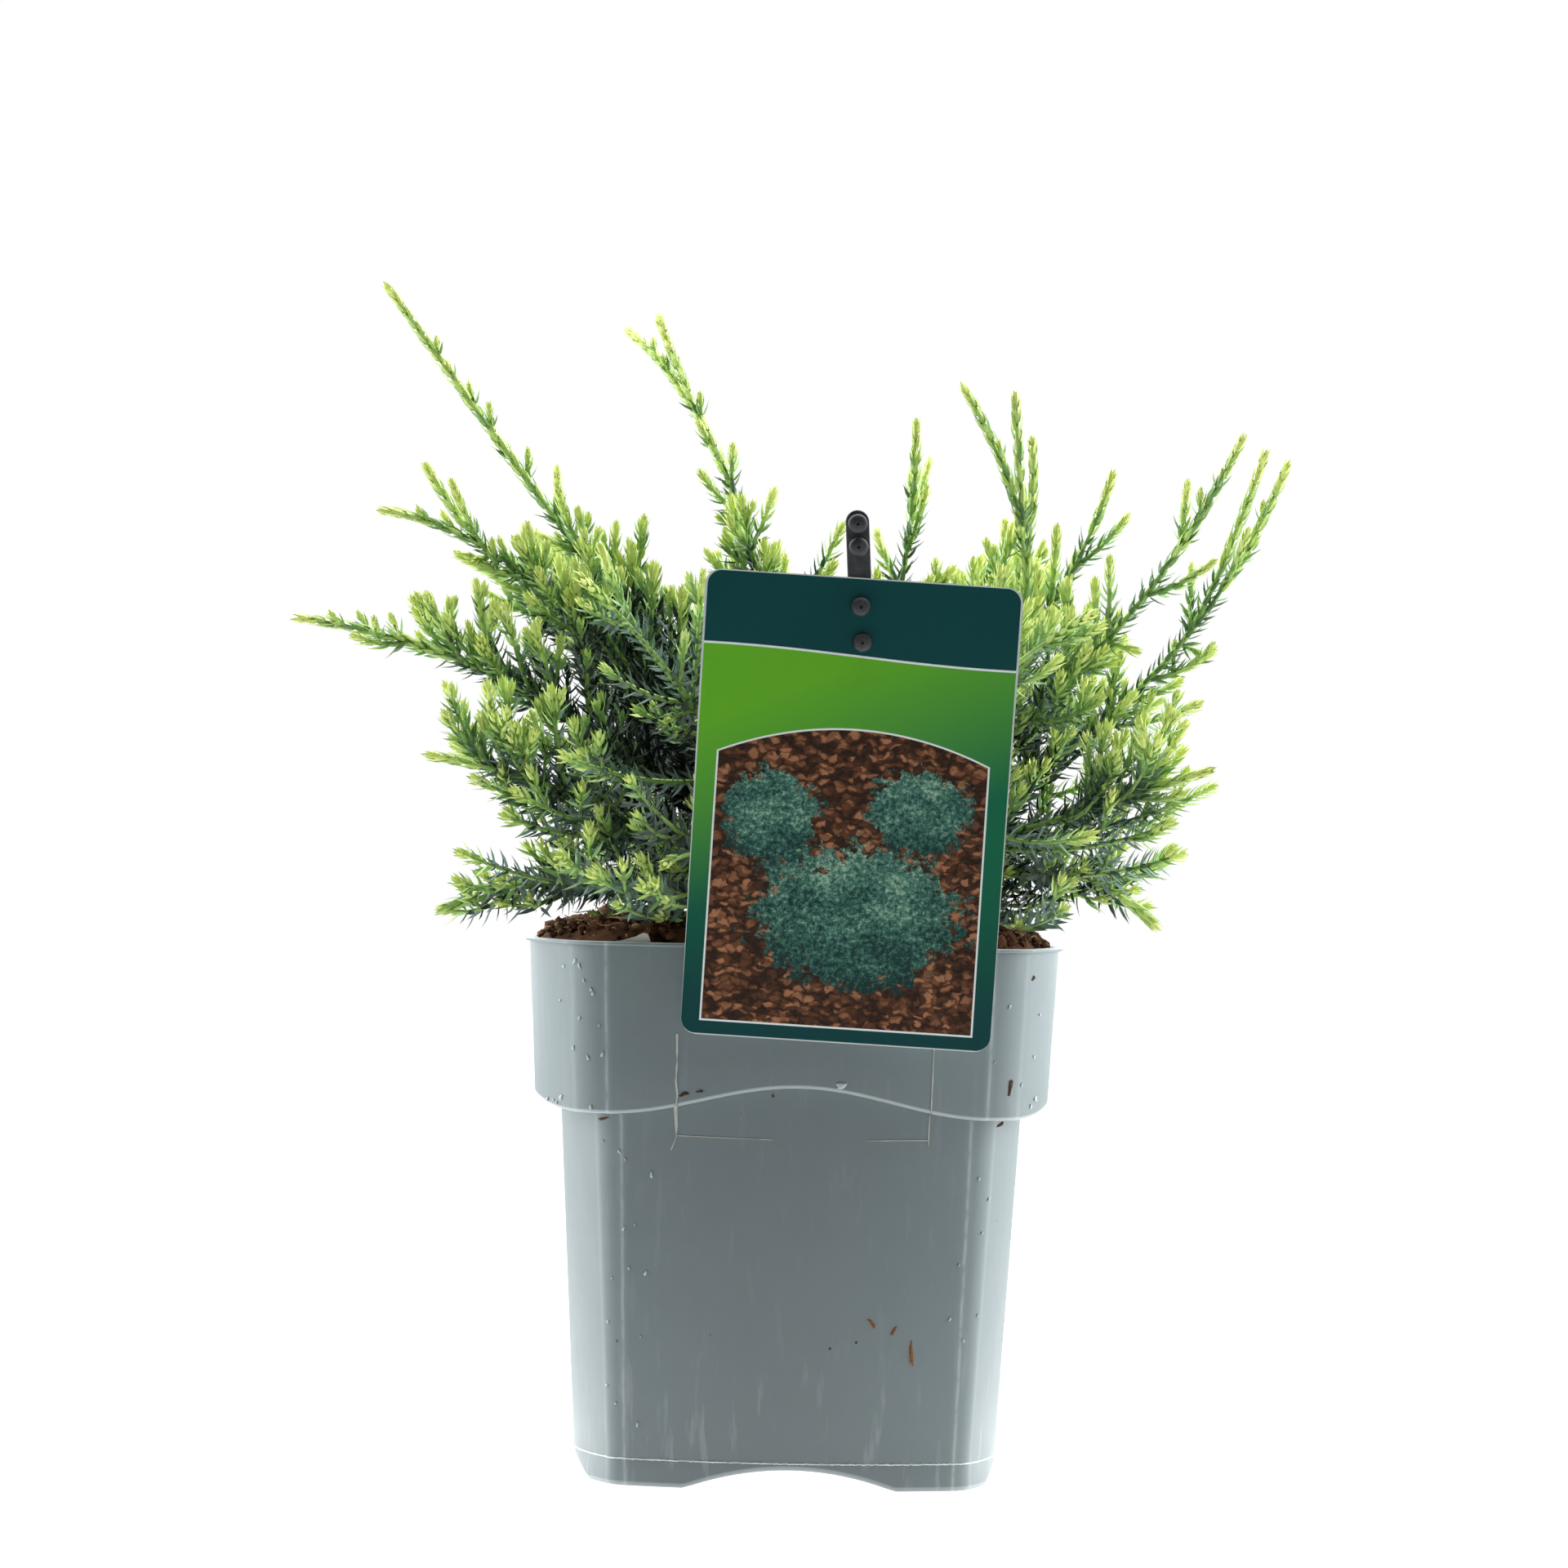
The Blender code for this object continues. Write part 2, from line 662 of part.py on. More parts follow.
def make_label():
    """The picture label, hung on the lower two studs in front of the pot."""
    low, high = LABEL_WIDTH
    corners = [
        (-low / 2, -LABEL_TALL / 2),
        (low / 2, -LABEL_TALL / 2),
        (high / 2, LABEL_TALL / 2),
        (-high / 2, LABEL_TALL / 2),
    ]
    outline = []
    for i, (x, z) in enumerate(corners):
        centre_x = x - math.copysign(LABEL_ROUND, x)
        centre_z = z - math.copysign(LABEL_ROUND, z)
        first = math.radians(180 + 90 * i)
        for k in range(5):
            turn = first + math.radians(90) * k / 4
            across = LABEL_ROUND * math.cos(turn)
            outline.append((centre_x + across, centre_z + LABEL_ROUND * math.sin(turn)))
    points = [(x, 0, z) for x, z in outline] + [(x, -LABEL_THICK, z) for x, z in outline]
    label = solid("label", points, lathe_faces(2, len(outline)), "label")
    label.location = LABEL_MIDDLE
    label.rotation_euler = (0, LABEL_TURN, 0)
    bpy.context.view_layer.update()
    holes = []
    for i in (0, 1):
        radius = LABEL_HOLE_RADIUS
        holes.append(stud_solid(f"hole_{i}", i, radius, radius, LABEL_HOLE_DEPTH))
    combine(label, holes, "DIFFERENCE")
    tidy(label)
    return label


def stake_frame():
    """The stake's own frame: its foot at the lowest stud, its front face towards -Y."""
    lean = Matrix.Rotation(STAKE_LEAN, 4, "X") @ Matrix.Rotation(STAKE_SIDE_LEAN, 4, "Y")
    foot = Vector((STUD_FOOT.x, STAKE_FRONT, STUD_FOOT.z))
    return Matrix.Translation(foot) @ lean


def stake_solid(name, grown):
    """The flat stake with its rounded top and pointed foot, or the same grown."""
    half = STAKE_WIDTH / 2 + grown
    outline = [(0, -STAKE_BELOW - grown), (half, -STAKE_BELOW + STAKE_TIP)]
    top = STAKE_ABOVE - STAKE_WIDTH / 2
    for i in range(9):
        turn = math.pi * i / 8
        outline.append((half * math.cos(turn), top + half * math.sin(turn)))
    outline.append((-half, -STAKE_BELOW + STAKE_TIP))
    front, back = -grown, STAKE_THICK + grown
    points = [(x, back, z) for x, z in outline] + [(x, front, z) for x, z in outline]
    frame = stake_frame()
    placed = [frame @ Vector(p) for p in points]
    return solid(name, placed, lathe_faces(2, len(outline)), "holder")


def stud_solid(name, order, foot_radius, tip_radius, out):
    """One stud, a blunt cone that stands forward from the stake's face."""
    sides = 10
    height = STUD_HEIGHTS[order]
    points = []
    for y, radius in ((STAKE_THICK / 2, foot_radius), (0, foot_radius), (-out, tip_radius)):
        for i in range(sides):
            turn = 2 * math.pi * i / sides
            points.append((radius * math.cos(turn), y, height + radius * math.sin(turn)))
    frame = stake_frame()
    placed = [frame @ Vector(p) for p in points]
    return solid(name, placed, lathe_faces(3, sides), "holder")


def make_holder():
    holder = stake_solid("label_holder", 0)
    studs = []
    for i in range(len(STUD_HEIGHTS)):
        studs.append(stud_solid(f"stud_{i}", i, STUD_RADIUS, STUD_TIP_RADIUS, STUD_OUT))
    combine(holder, studs, "UNION")
    tidy(holder)
    return holder


def main():
    clear_scene()
    make_pot()
    make_soil()
    trunk_solid("trunk", 0)
    for name in STEMS:
        make_bough(name)
    for index, name in enumerate(STEMS):
        make_mass(name, index)
    make_label()
    make_holder()


if __name__ == "__main__":
    main()
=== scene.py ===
"""The looks of a potted flaky juniper: needles, twigs, bark, soil, pot, label and holder.

Lengths are metres, +Z is up and the front faces -Y. Every surface is worked out from
named sizes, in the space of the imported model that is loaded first.
"""

import math

import bpy
import numpy as np
from bpy.props import FloatProperty, FloatVectorProperty, IntProperty, PointerProperty
from mathutils import Matrix, Vector


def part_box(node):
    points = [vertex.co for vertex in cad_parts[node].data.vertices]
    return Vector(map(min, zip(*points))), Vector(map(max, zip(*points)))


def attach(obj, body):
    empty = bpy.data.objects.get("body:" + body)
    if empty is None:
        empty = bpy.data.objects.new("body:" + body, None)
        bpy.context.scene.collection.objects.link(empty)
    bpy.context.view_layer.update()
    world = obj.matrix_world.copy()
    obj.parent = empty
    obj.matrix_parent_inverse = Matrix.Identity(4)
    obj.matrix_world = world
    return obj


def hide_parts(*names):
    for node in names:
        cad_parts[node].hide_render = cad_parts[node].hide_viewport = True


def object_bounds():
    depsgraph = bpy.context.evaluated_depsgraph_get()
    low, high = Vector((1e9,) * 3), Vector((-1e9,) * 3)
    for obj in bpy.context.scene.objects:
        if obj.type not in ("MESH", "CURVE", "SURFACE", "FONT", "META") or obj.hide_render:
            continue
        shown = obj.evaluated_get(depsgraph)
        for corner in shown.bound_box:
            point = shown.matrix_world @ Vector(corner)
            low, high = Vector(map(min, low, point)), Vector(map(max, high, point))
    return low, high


bl_info = {
    "name": "Potted juniper",
    "version": (1, 0, 0),
    "blender": (4, 5, 0),
    "location": "View3D > Sidebar > Juniper",
    "description": "Grows a potted juniper round its packed model",
    "category": "Add Mesh",
}

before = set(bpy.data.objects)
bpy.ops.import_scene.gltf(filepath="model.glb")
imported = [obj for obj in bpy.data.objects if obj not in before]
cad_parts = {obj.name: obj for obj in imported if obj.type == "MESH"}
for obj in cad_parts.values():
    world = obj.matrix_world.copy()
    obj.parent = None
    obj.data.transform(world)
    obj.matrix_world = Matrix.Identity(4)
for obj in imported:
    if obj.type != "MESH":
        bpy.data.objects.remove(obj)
MODEL_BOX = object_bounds()

MM = 0.001
TAU = 2 * math.pi
UP = np.array((0, 0, 1.0))
SEED = 23

# The pot. Each level of its wall is a rounded square: half its width, the distance from
# the middle of a side to the crease where the corner starts, and how far the side bows.
POT_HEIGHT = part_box("pot")[1].z
BASE = (69.0 * MM, 52.7 * MM, 10.5 * MM)
SHOULDER = (75.6 * MM, 56.0 * MM, 11.0 * MM)
COLLAR_FOOT = (84.1 * MM, 59.0 * MM, 12.0 * MM)
COLLAR_TOP = (86.6 * MM, 60.4 * MM, 12.0 * MM)
WALL = 1.6 * MM
FOOT_WIDTH = 2.4 * MM
BEVEL = 1.5 * MM
FLOOR_UNDER = 8.6 * MM
FLOOR_TOP = 10.4 * MM
ARCH_HALF = 33.7 * MM
ARCH_RISE = 6.5 * MM
LIP_LOW = 119.8 * MM
LIP_WAVE = 9.6 * MM
SIDE_LIP_WAVE = 4.0 * MM
LIP_WAVE_HALF = 62 * MM
LIP_ROUND = 1.2 * MM
BEAD_TALL = 1.4 * MM
BEAD_OUT = 1.5 * MM
CREASE_TURN = math.radians(2)
SIDE_POINTS = 30
CORNER_POINTS = 14
DRAIN_RADIUS = 8 * MM
DRAIN_AWAY = 36 * MM
FLASH_HEIGHT = 8.75 * MM
FLASH_OUT = 0.25 * MM
FLASH_COLOUR = (0.70, 0.76, 0.77)
DIRT_COLOUR = (0.02, 0.02, 0.018)

# The soil, and how far it stays clear of the pot.
GROUND = 178 * MM
SOIL_GAP = 0.3 * MM
SOIL_AT_WALL = POT_HEIGHT - 2.5 * MM
SOIL_SLOPE = 12 * MM
SOIL_HEAP = 3.0 * MM
SOIL_WAVES = (17 * MM, 21 * MM)
SOIL_SIDE_RISE = 0.025
TRUNK_PATCH = 20 * MM
PATCH_EDGE = 14 * MM
SOIL_REACH = 76 * MM
CORNER_CUT = 1.72
CRUMB_LEAST = 0.45 * MM
CRUMB_MOST = 3.2 * MM
CHIP_SIZES = (0.5, 1.6)
FIBRE_LENGTHS = (3, 11)
FIBRE_RADII = (0.12, 0.4)

# The trunk.
TRUNK_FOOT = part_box("trunk")[0].z
TRUNK_TALL = 34 * MM
TRUNK_RADIUS = 6.2 * MM
FLARE_RADIUS = 10.5 * MM
FLARE_TALL = 9 * MM
TRUNK_TOP_RADIUS = 4.6 * MM
TRUNK_LEAN = (2.0 * MM, 1.5 * MM)
TRUNK_BUTTRESS = 0.12

# Boughs and the side shoots of a mass, by the source's rule. A run is where they end, as
# a share of the stem, and how much shorter they get towards its tip.
BOUGH_ROOT = 2.2 * MM
BOUGH_TIP = 1.6 * MM
STEM_TIP = 0.45 * MM
SHOOTS_A_MASS = 6
SHOOT_ORDERS = 7
SHOOT_SIZES = (1.0, 0.8, 0.62, 0.45)
SHOOT_OPEN = (math.radians(58), math.radians(34))
OPEN_RANGE = (0.88, 1.12)
LENGTH_RANGE = (0.85, 1.15)
TURN_RANGE = (-0.35, 0.35)
FIRST_SHOOT = 0.05
LEADER_RUN = (0.50, 0.75)
BUSHY_RUN = (0.80, 0.50)
GOLDEN_TURN = math.radians(137.5)
UPWARD_BEND = 0.34
SHORTEST_SHOOT = 11 * MM
SHORTEST_FINER = 5 * MM
SPACE_MARGIN = 0.6 * MM
RIM_SPACE = 92 * MM
LABEL_SPACE = (-44 * MM, 74 * MM, -81 * MM)

# The sun on a shoot: a base, and shares of how high up its tip is, and of how far out it
# is beyond a share of the crown's reach.
CROWN_REACH = 150 * MM
CROWN_RISE = 170 * MM
SUN_BASE = 0.15
SUN_UP = 0.95
SUN_OUT = 0.5
SUN_REACH = 0.6

# Each stem lies in an upright plane at its bearing, in degrees from +X towards the back:
# the reach and the height of its tip, then those of the knee that it bends at, the
# height at which it leaves the trunk, the share of it that is bare bough, and its
# longest side shoots. All lengths are in millimetres, heights above the soil.
STEMS = {
    "left_leader": (166, 142, 210, 72, 118, 27, 0.22, 40),
    "left_upper": (182, 137, 135, 80, 128, 18, 0.28, 36),
    "left_outer": (191, 168, 99, 88, 92, 14, 0.24, 34),
    "left_mid": (206, 132, 55, 70, 46, 9, 0.28, 36),
    "left_low": (193, 117, 6, 62, 26, 5, 0.32, 24),
    "front_left": (238, 139, 112, 78, 88, 18, 0.26, 40),
    "front_low_left": (245, 104, 22, 60, 34, 7, 0.34, 28),
    "centre_leader": (126, 98, 200, 22, 162, 32, 0.26, 34),
    "right_inner": (52, 63, 169, 66, 98, 18, 0.34, 28),
    "right_leader": (-38, 64, 177, 138, 80, 28, 0.26, 32),
    "right_rear_leader": (24, 84, 163, 92, 88, 27, 0.28, 32),
    "right_upper": (-3, 101, 151, 84, 90, 20, 0.28, 32),
    "right_outer": (13, 166, 157, 128, 60, 12, 0.26, 32),
    "right_twin": (-18, 147, 162, 108, 78, 15, 0.28, 32),
    "right_mid": (-26, 144, 55, 84, 36, 9, 0.28, 34),
    "right_low": (3, 118, 5, 84, 40, 4, 0.38, 24),
    "front_right": (-52, 144, 104, 80, 80, 18, 0.26, 40),
    "front_middle": (-95, 74, 92, 56, 50, 12, 0.38, 28),
    "back_left": (145, 134, 122, 76, 92, 10, 0.26, 40),
    "back_right": (48, 132, 126, 76, 90, 10, 0.26, 40),
    "back_middle": (96, 118, 108, 70, 86, 14, 0.26, 40),
    "back_low_left": (120, 126, 28, 66, 34, 6, 0.30, 30),
    "back_low_right": (70, 124, 26, 66, 32, 7, 0.30, 30),
}

# Where the side shoots of a stem end, as a share of its length. Beyond, it is a thin
# leader with its needles laid close.
THIN_ENDS = {
    "left_leader": 0.60,
    "centre_leader": 0.62,
    "right_leader": 0.58,
    "right_rear_leader": 0.60,
    "left_outer": 0.70,
    "left_upper": 0.80,
    "right_outer": 0.78,
    "right_twin": 0.76,
    "right_inner": 0.78,
}
# A second tip: the share of the stem where it forks, its length and how much it turns up.
FORKS = {
    "centre_leader": (0.74, 36 * MM, 0.22),
    "left_upper": (0.80, 24 * MM, 0.6),
    "right_leader": (0.70, 34 * MM, 0.5),
    "right_outer": (0.70, 42 * MM, 0.7),
}

# Long side shoots that reach a place of their own: the stem, how far along it they
# start, and their tip in millimetres.
SPRAYS = (
    ("left_low", 0.40, (-109, -52, 202)),
    ("left_mid", 0.30, (-77, -80, 202)),
    ("left_mid", 0.42, (-92, -66, 222)),
    ("left_mid", 0.46, (-105, -46, 226)),
    ("left_mid", 0.38, (-95, -52, 214)),
    ("left_mid", 0.60, (-112, -30, 236)),
    ("front_low_left", 0.45, (-67, -93, 196)),
    ("front_low_left", 0.35, (-59, -84, 187)),
    ("front_low_left", 0.55, (-51, -99, 193)),
    ("front_low_left", 0.50, (-43, -88, 188)),
    ("front_low_left", 0.52, (-56, -96, 226)),
    ("front_left", 0.30, (-77, -78, 234)),
    ("right_low", 0.42, (84, -70, 188)),
    ("right_low", 0.50, (124, -28, 206)),
    ("right_mid", 0.50, (132, -52, 228)),
    ("right_mid", 0.45, (118, -66, 216)),
    ("right_outer", 0.52, (131, 8, 255)),
    ("front_right", 0.36, (92, -78, 212)),
)
SPRAY_SAG = 0.13
LOW_SPRAY_SAG = 0.27

# Open sky in the crown, seen from the front: the middle and half sizes of ovals, in x
# and z.
SKY = (
    (-98, 203, 15, 9),
    (16, 320, 9, 12),
    (112, 288, 10, 12),
)
# Dark hollows in the front of the crown, in the same form.
HOLLOWS = (
    (-54, 266, 14, 16),
    (-44, 224, 8, 14),
    (76, 212, 6, 11),
)
HOLLOW_FRONT = -12 * MM
# Places around them, in the same form, where shoots count as shaded by others: painted
# shade, which darkens their needles' tints and shortens their new growth.
SHADED = (
    (-54, 262, 24, 30),
    (-42, 226, 16, 24),
    (78, 214, 10, 15),
)
SHADED_COVER = 0.45

# Radii of a shoot at its root and its tip, and how much finer shoots turn up.
FINER_RADII = {
    "main": (1.0 * MM, 0.5 * MM),
    "side": (0.9 * MM, 0.5 * MM),
    "twig": (0.7 * MM, 0.45 * MM),
    "bud": (0.6 * MM, 0.4 * MM),
}
FINER_BEND = 0.38

# Side shoots of leaders, of bushy stems and of low ones: how much longer than the
# source's, how much shorter they get towards the stem's tip, and how much they turn up.
LEADER_GROWTH = (1.0, 0.6, 1.0)
BUSHY_GROWTH = (1.3, 0.35, 1.7)
LOW_GROWTH = (1.3, 0.45, 0.3)
THIN_END = 0.86
LEAST_SIDE_SHOOT = 32
SIDE_SHOOTS_START = 0.45
SHADE_SPARSER = 1.3

# Each finer shoot is tried at these shares of its length and of its rise until it fits.
# It may fall by this share of its length, and stays this far inside the model's box.
FINER_TRIES = ((1.0, 1.0), (0.75, 1.0), (0.9, 0.3), (0.55, 1.0), (0.5, -0.2))
FINER_FALL = 0.35
FINER_INSIDE = 3.5 * MM

# Buds on the thin ends: gap, length, first and last share of the stem, and how much more
# closely they stand. Twigs: the shortest parent, and their length against it.
BUD_GAP = 10 * MM
BUD_LENGTH = 11 * MM
BUDS_AFTER = 0.03
BUDS_END = 0.94
BUD_CLOSER = 0.9
TWIG_PARENT = 17 * MM
TWIG_LEAST = 6 * MM
TWIG_SHARE = 0.36
TWIG_REACH = (0.2, 0.85)

# Numbers that the draws of each kind of shoot start from.
SPRAY_ORDER = 700
FORK_ORDER = 900
SIDE_ORDER = 1000
TWIG_ORDER = 10000

# The crown's upper outline from the front, as x and z in millimetres. Only the leaders
# stand above it.
CROWN_TOP = (
    (-165, 270), (-130, 298), (-100, 303), (-74, 313), (-60, 308), (-42, 324), (-22, 322),
    (0, 304), (32, 292), (46, 313), (76, 311), (98, 288), (114, 268), (136, 278), (162, 262),
)
TOP_UNEVEN = 17 * MM

# A shoot's cover is counted in a ball ahead of its tip, against the number of points on
# other shoots that shades it in full.
COVER_AHEAD = 24 * MM
COVER_RADIUS = 18 * MM
COVER_FULL = 88
WOODY_WITHIN = 55 * MM
WOODY_UNDER = GROUND + 80 * MM

# Gaps between whorls of needles, and how far needles open from their shoot: in shade and
# in sun, in old growth and in new.
WHORL_GAP = 2.7 * MM
TIP_GAP = 0.9 * MM
LEADER_GAP = 3.4 * MM
LEADER_TIP_GAP = 2.1 * MM
LEADER_AGE = 0.78
SPREAD_OLD = math.radians(60)
SPREAD_SUN = math.radians(38)
SPREAD_NEW = math.radians(40)
SPREAD_NEW_SUN = math.radians(14)
SPREAD_LEADER = math.radians(13)

# New growth in millimetres: its least length, what full sun adds and the share of that
# which cover takes away. The ranges vary the lengths, openings and widths by chance.
NEW_LEAST = 2.4
NEW_SUN = 17
NEW_COVERED = 0.7
NEW_RANGE = (0.75, 1.25)
NEEDLE_OPENINGS = (0.82, 1.2)
NEEDLE_LENGTHS = (0.86, 1.1)
NEEDLE_WIDTHS = (0.85, 1.15)
NEEDLE_TURNS = 0.16
SUN_SHORTER = 0.26
END_LONGER = 0.18
END_WIDER = 0.3
# A covered shoot's needles count as older by this, so that they take darker tints: painted
# shade.
COVER_AGE = 2.0
NEEDLE_PAST_BOX = 2.5 * MM

# The two triangles across a needle: how far along it, half its breadth and its keel.
NEEDLE_ROWS = ((0.16, 0.90, 0.50), (0.52, 0.86, 0.40))
NEEDLE_ARC = 0.16

# Tints of the needles. The first three are new growth, up to these ages, and the others
# follow with less and less light: painted light and shade on old needles, greener where
# lit and darkest inside, with their own blue-green and grey bloom between.
TINTS = ("tip", "young", "fresh", "green", "blue", "grey", "shade")
NEW_GROWTH = (0.45, 0.85, 1.25)
OLD_LIGHT = (0.92, 0.62, 0.28)
BLOOM_SHARE = 0.3
LIGHT_BASE = 0.06
LIGHT_UP = 0.62
LIGHT_OUT = 0.42
LIGHT_COVERED = 0.85
LIGHT_NOISE = 0.08
AGE_NOISE = 0.09
SHOOT_NOISE = 0.10
SIDES = ("left", "middle", "right")

# The label and its holder.
LABEL_MIDDLE = Vector((14.2 * MM, -89.8 * MM, 218.3 * MM))
LABEL_TURN = math.radians(2.6)
LABEL_HALF_TALL = 74 * MM
LABEL_HALF_WIDE = 50 * MM
LABEL_WIDENING = 1.4 / 148
LABEL_ROUND = 5 * MM
STAKE_FOOT = Vector((17.0 * MM, -88.0 * MM, 271.9 * MM))
STUD_HEIGHTS = (0, 11.4 * MM, 30.4 * MM, 37.8 * MM)
STUD_RADIUS = 2.2 * MM
STUD_TIP_RADIUS = 1.2 * MM
STUD_OUT = 4.6 * MM
STAKE_WIDTH = 7.5 * MM
STAKE_THICK = 2.2 * MM
STAKE_ABOVE = 42 * MM
STAKE_BELOW = 136 * MM
STAKE_TIP = 10 * MM
STAKE_ROUND = 0.5 * MM
STAKE_SIDE_LEAN = math.radians(-3.5)
STAKE_LEAN = math.radians(4.2)
STUD_HEAD = 3.1 * MM

# The label's print: the lower edge of its head and the line under it, the half width of
# its picture, the picture's top and foot, its border, and how soft the edges are.
HEAD_EDGE = 49.3 * MM
HEAD_LINE = 48.6 * MM
PICTURE_HALF = 43.5 * MM
PICTURE_TOP = 26 * MM
PICTURE_FOOT = 69.5 * MM
PICTURE_BORDER = 0.6 * MM
PRINT_SOFT = 0.2 * MM
LINE_COLOUR = (0.75, 0.80, 0.78)
LABEL_EDGE_COLOUR = (0.55, 0.60, 0.58)
LABEL_BACK_COLOUR = (0.62, 0.66, 0.64)

# The shrubs of the label's picture: middle, half width and height, and a seed.
SHRUB_PLACES = (
    ((22, 0), (17, 13), 3.0),
    ((-25, -4), (15, 15), 5.0),
    ((4, -34), (32, 22), 8.0),
)

# The camera, a long lens a little above the rim and a little to the left.
CAMERA_FAR = 2.8
CAMERA_HEIGHT = 223.8 * MM
CAMERA_TURN = math.radians(1.7)
CAMERA_ROLL = 0.0205
CAMERA_LENS = 195.9
CAMERA_SHIFT = (-0.0085, 0.0052)

# The studio: the tint of its sky, and its soft boxes with their place, their size in
# metres, the setting that gives their power and their share of it.
SKY_TINT = (0.94, 1.0, 1.02)
LIT_POINT = Vector((0, 0, 0.17))
FLOOR_HALF = 6.0
SOFT_BOXES = {
    "box_left": ((-0.95, 0.35, 0.45), 0.9, "side_light", 1.0),
    "box_right": ((0.95, 0.2, 0.45), 0.9, "side_light", 1.2),
    "box_top": ((0.0, 0.15, 1.3), 1.0, "top_light", 1.0),
}


def new_object(name, data):
    """An object at the origin, in the scene's own collection."""
    made = bpy.data.objects.new(name, data)
    bpy.context.scene.collection.objects.link(made)
    return made


class Shape:
    """Points and faces gathered from several closed shells, for one mesh."""

    def __init__(self):
        self.points, self.faces, self.count = [], [], 0

    def add(self, points, *faces):
        """Takes in a shell: points as rows, and arrays of corner numbers of one size."""
        self.points.append(np.asarray(points, float).reshape(-1, 3))
        self.faces.extend(np.asarray(group) + self.count for group in faces)
        self.count += len(self.points[-1])

    def shell(self, rings, matrix=None, turned=False):
        """Takes in stacked rings with closed ends, placed by a matrix if there is one.

        Rings that run the other way are turned, so that their faces point outwards.
        """
        points, *faces = capped_grid(rings)
        points = placed(points, matrix) if matrix else points
        self.add(points, *((group[:, ::-1] for group in faces) if turned else faces))

    def mesh(self, name):
        """All shells as one mesh."""
        mesh = bpy.data.meshes.new(name)
        sizes = np.concatenate([np.full(len(g), g.shape[1]) for g in self.faces])
        corners = np.concatenate([g.ravel() for g in self.faces])
        mesh.vertices.add(self.count)
        mesh.vertices.foreach_set("co", np.concatenate(self.points).astype("f").ravel())
        mesh.loops.add(len(corners))
        mesh.loops.foreach_set("vertex_index", corners.astype("i"))
        mesh.polygons.add(len(sizes))
        mesh.polygons.foreach_set("loop_start", (np.cumsum(sizes) - sizes).astype("i"))
        mesh.update(calc_edges=True)
        return mesh

    def piece(self, name, material, slot, smooth=True, crease=None, nodes=(), other=None):
        """The finished object. It rides on the one body and stands for the given nodes.

        Other is a second material and the faces that have it.
        """
        mesh = self.mesh(name)
        mesh.polygons.foreach_set("use_smooth", np.full(len(mesh.polygons), smooth))
        if crease is not None:
            mesh.set_sharp_from_angle(angle=math.radians(crease))
        mesh.materials.append(material)
        if other:
            mesh.materials.append(other[0])
            mesh.polygons.foreach_set("material_index", other[1].astype("i"))
        made = new_object(name, mesh)
        if nodes:
            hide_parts(*nodes)
        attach(made, "root")
        return made


def columns(*parts):
    """Rows of points from rows of coordinates. One that is a number stays the same."""
    return np.stack(np.broadcast_arrays(*parts), axis=-1)


def placed(points, matrix):
    """Points times a matrix: its rotation on each, and then its translation."""
    rotation = np.array(matrix.to_3x3())
    return np.asarray(points) @ rotation.T + np.array(matrix.translation)


def grid_faces(rows, wide):
    """Quads between the rows of a grid of points that closes round its columns."""
    row, column = np.meshgrid(np.arange(rows - 1), np.arange(wide), indexing="ij")
    a = row * wide + column
    b = row * wide + (column + 1) % wide
    return columns(a, b, b + wide, a + wide).reshape(-1, 4)


def fan_faces(first, count, centre, flip=False):
    """Triangles from a ring of points to one point."""
    i = np.arange(count)
    ends = first + i, first + (i + 1) % count
    return columns(*(ends[::-1] if flip else ends), centre)


def capped_grid(rings):
    """Points and faces of stacked rings with a fan to a middle point at each end."""
    rings = np.asarray(rings, float)
    rows, wide = rings.shape[:2]
    size = rows * wide
    points = np.concatenate([rings.reshape(-1, 3), [rings[0].mean(0), rings[-1].mean(0)]])
    ends = fan_faces(0, wide, size, flip=True), fan_faces(size - wide, wide, size + 1)
    return points, grid_faces(rows, wide), np.concatenate(ends)


def value_noise(points, size, seed):
    """Smooth noise from -1 to 1: a value drawn for each corner of a grid, blended between."""
    spot = np.asarray(points, float).reshape(-1, 3) / size
    low = np.floor(spot).astype(np.int64)
    part = spot - low
    part = part * part * (3 - 2 * part)
    total = np.zeros(len(spot))
    for corner in np.ndindex(2, 2, 2):
        cell = low + corner
        drawn = cell[:, 0] * 73856093 ^ cell[:, 1] * 19349663 ^ cell[:, 2] * 83492791
        drawn = (drawn ^ seed * 2654435761) & 0xFFFFFFFF
        drawn = (drawn ^ drawn >> 15) * 2246822519 & 0xFFFFFFFF
        drawn = (drawn ^ drawn >> 13) * 3266489917 & 0xFFFFFFFF
        value = (drawn >> 8 & 0xFFFF) / 32767.5 - 1
        total += value * np.prod(np.where(corner, part, 1 - part), axis=1)
    return total


def layered_noise(points, size, seed, layers=3):
    """Value noise with finer and weaker layers of itself added."""
    parts = (value_noise(points, size / 2**k, seed + k) / 1.8**k for k in range(layers))
    return sum(parts) / 1.6


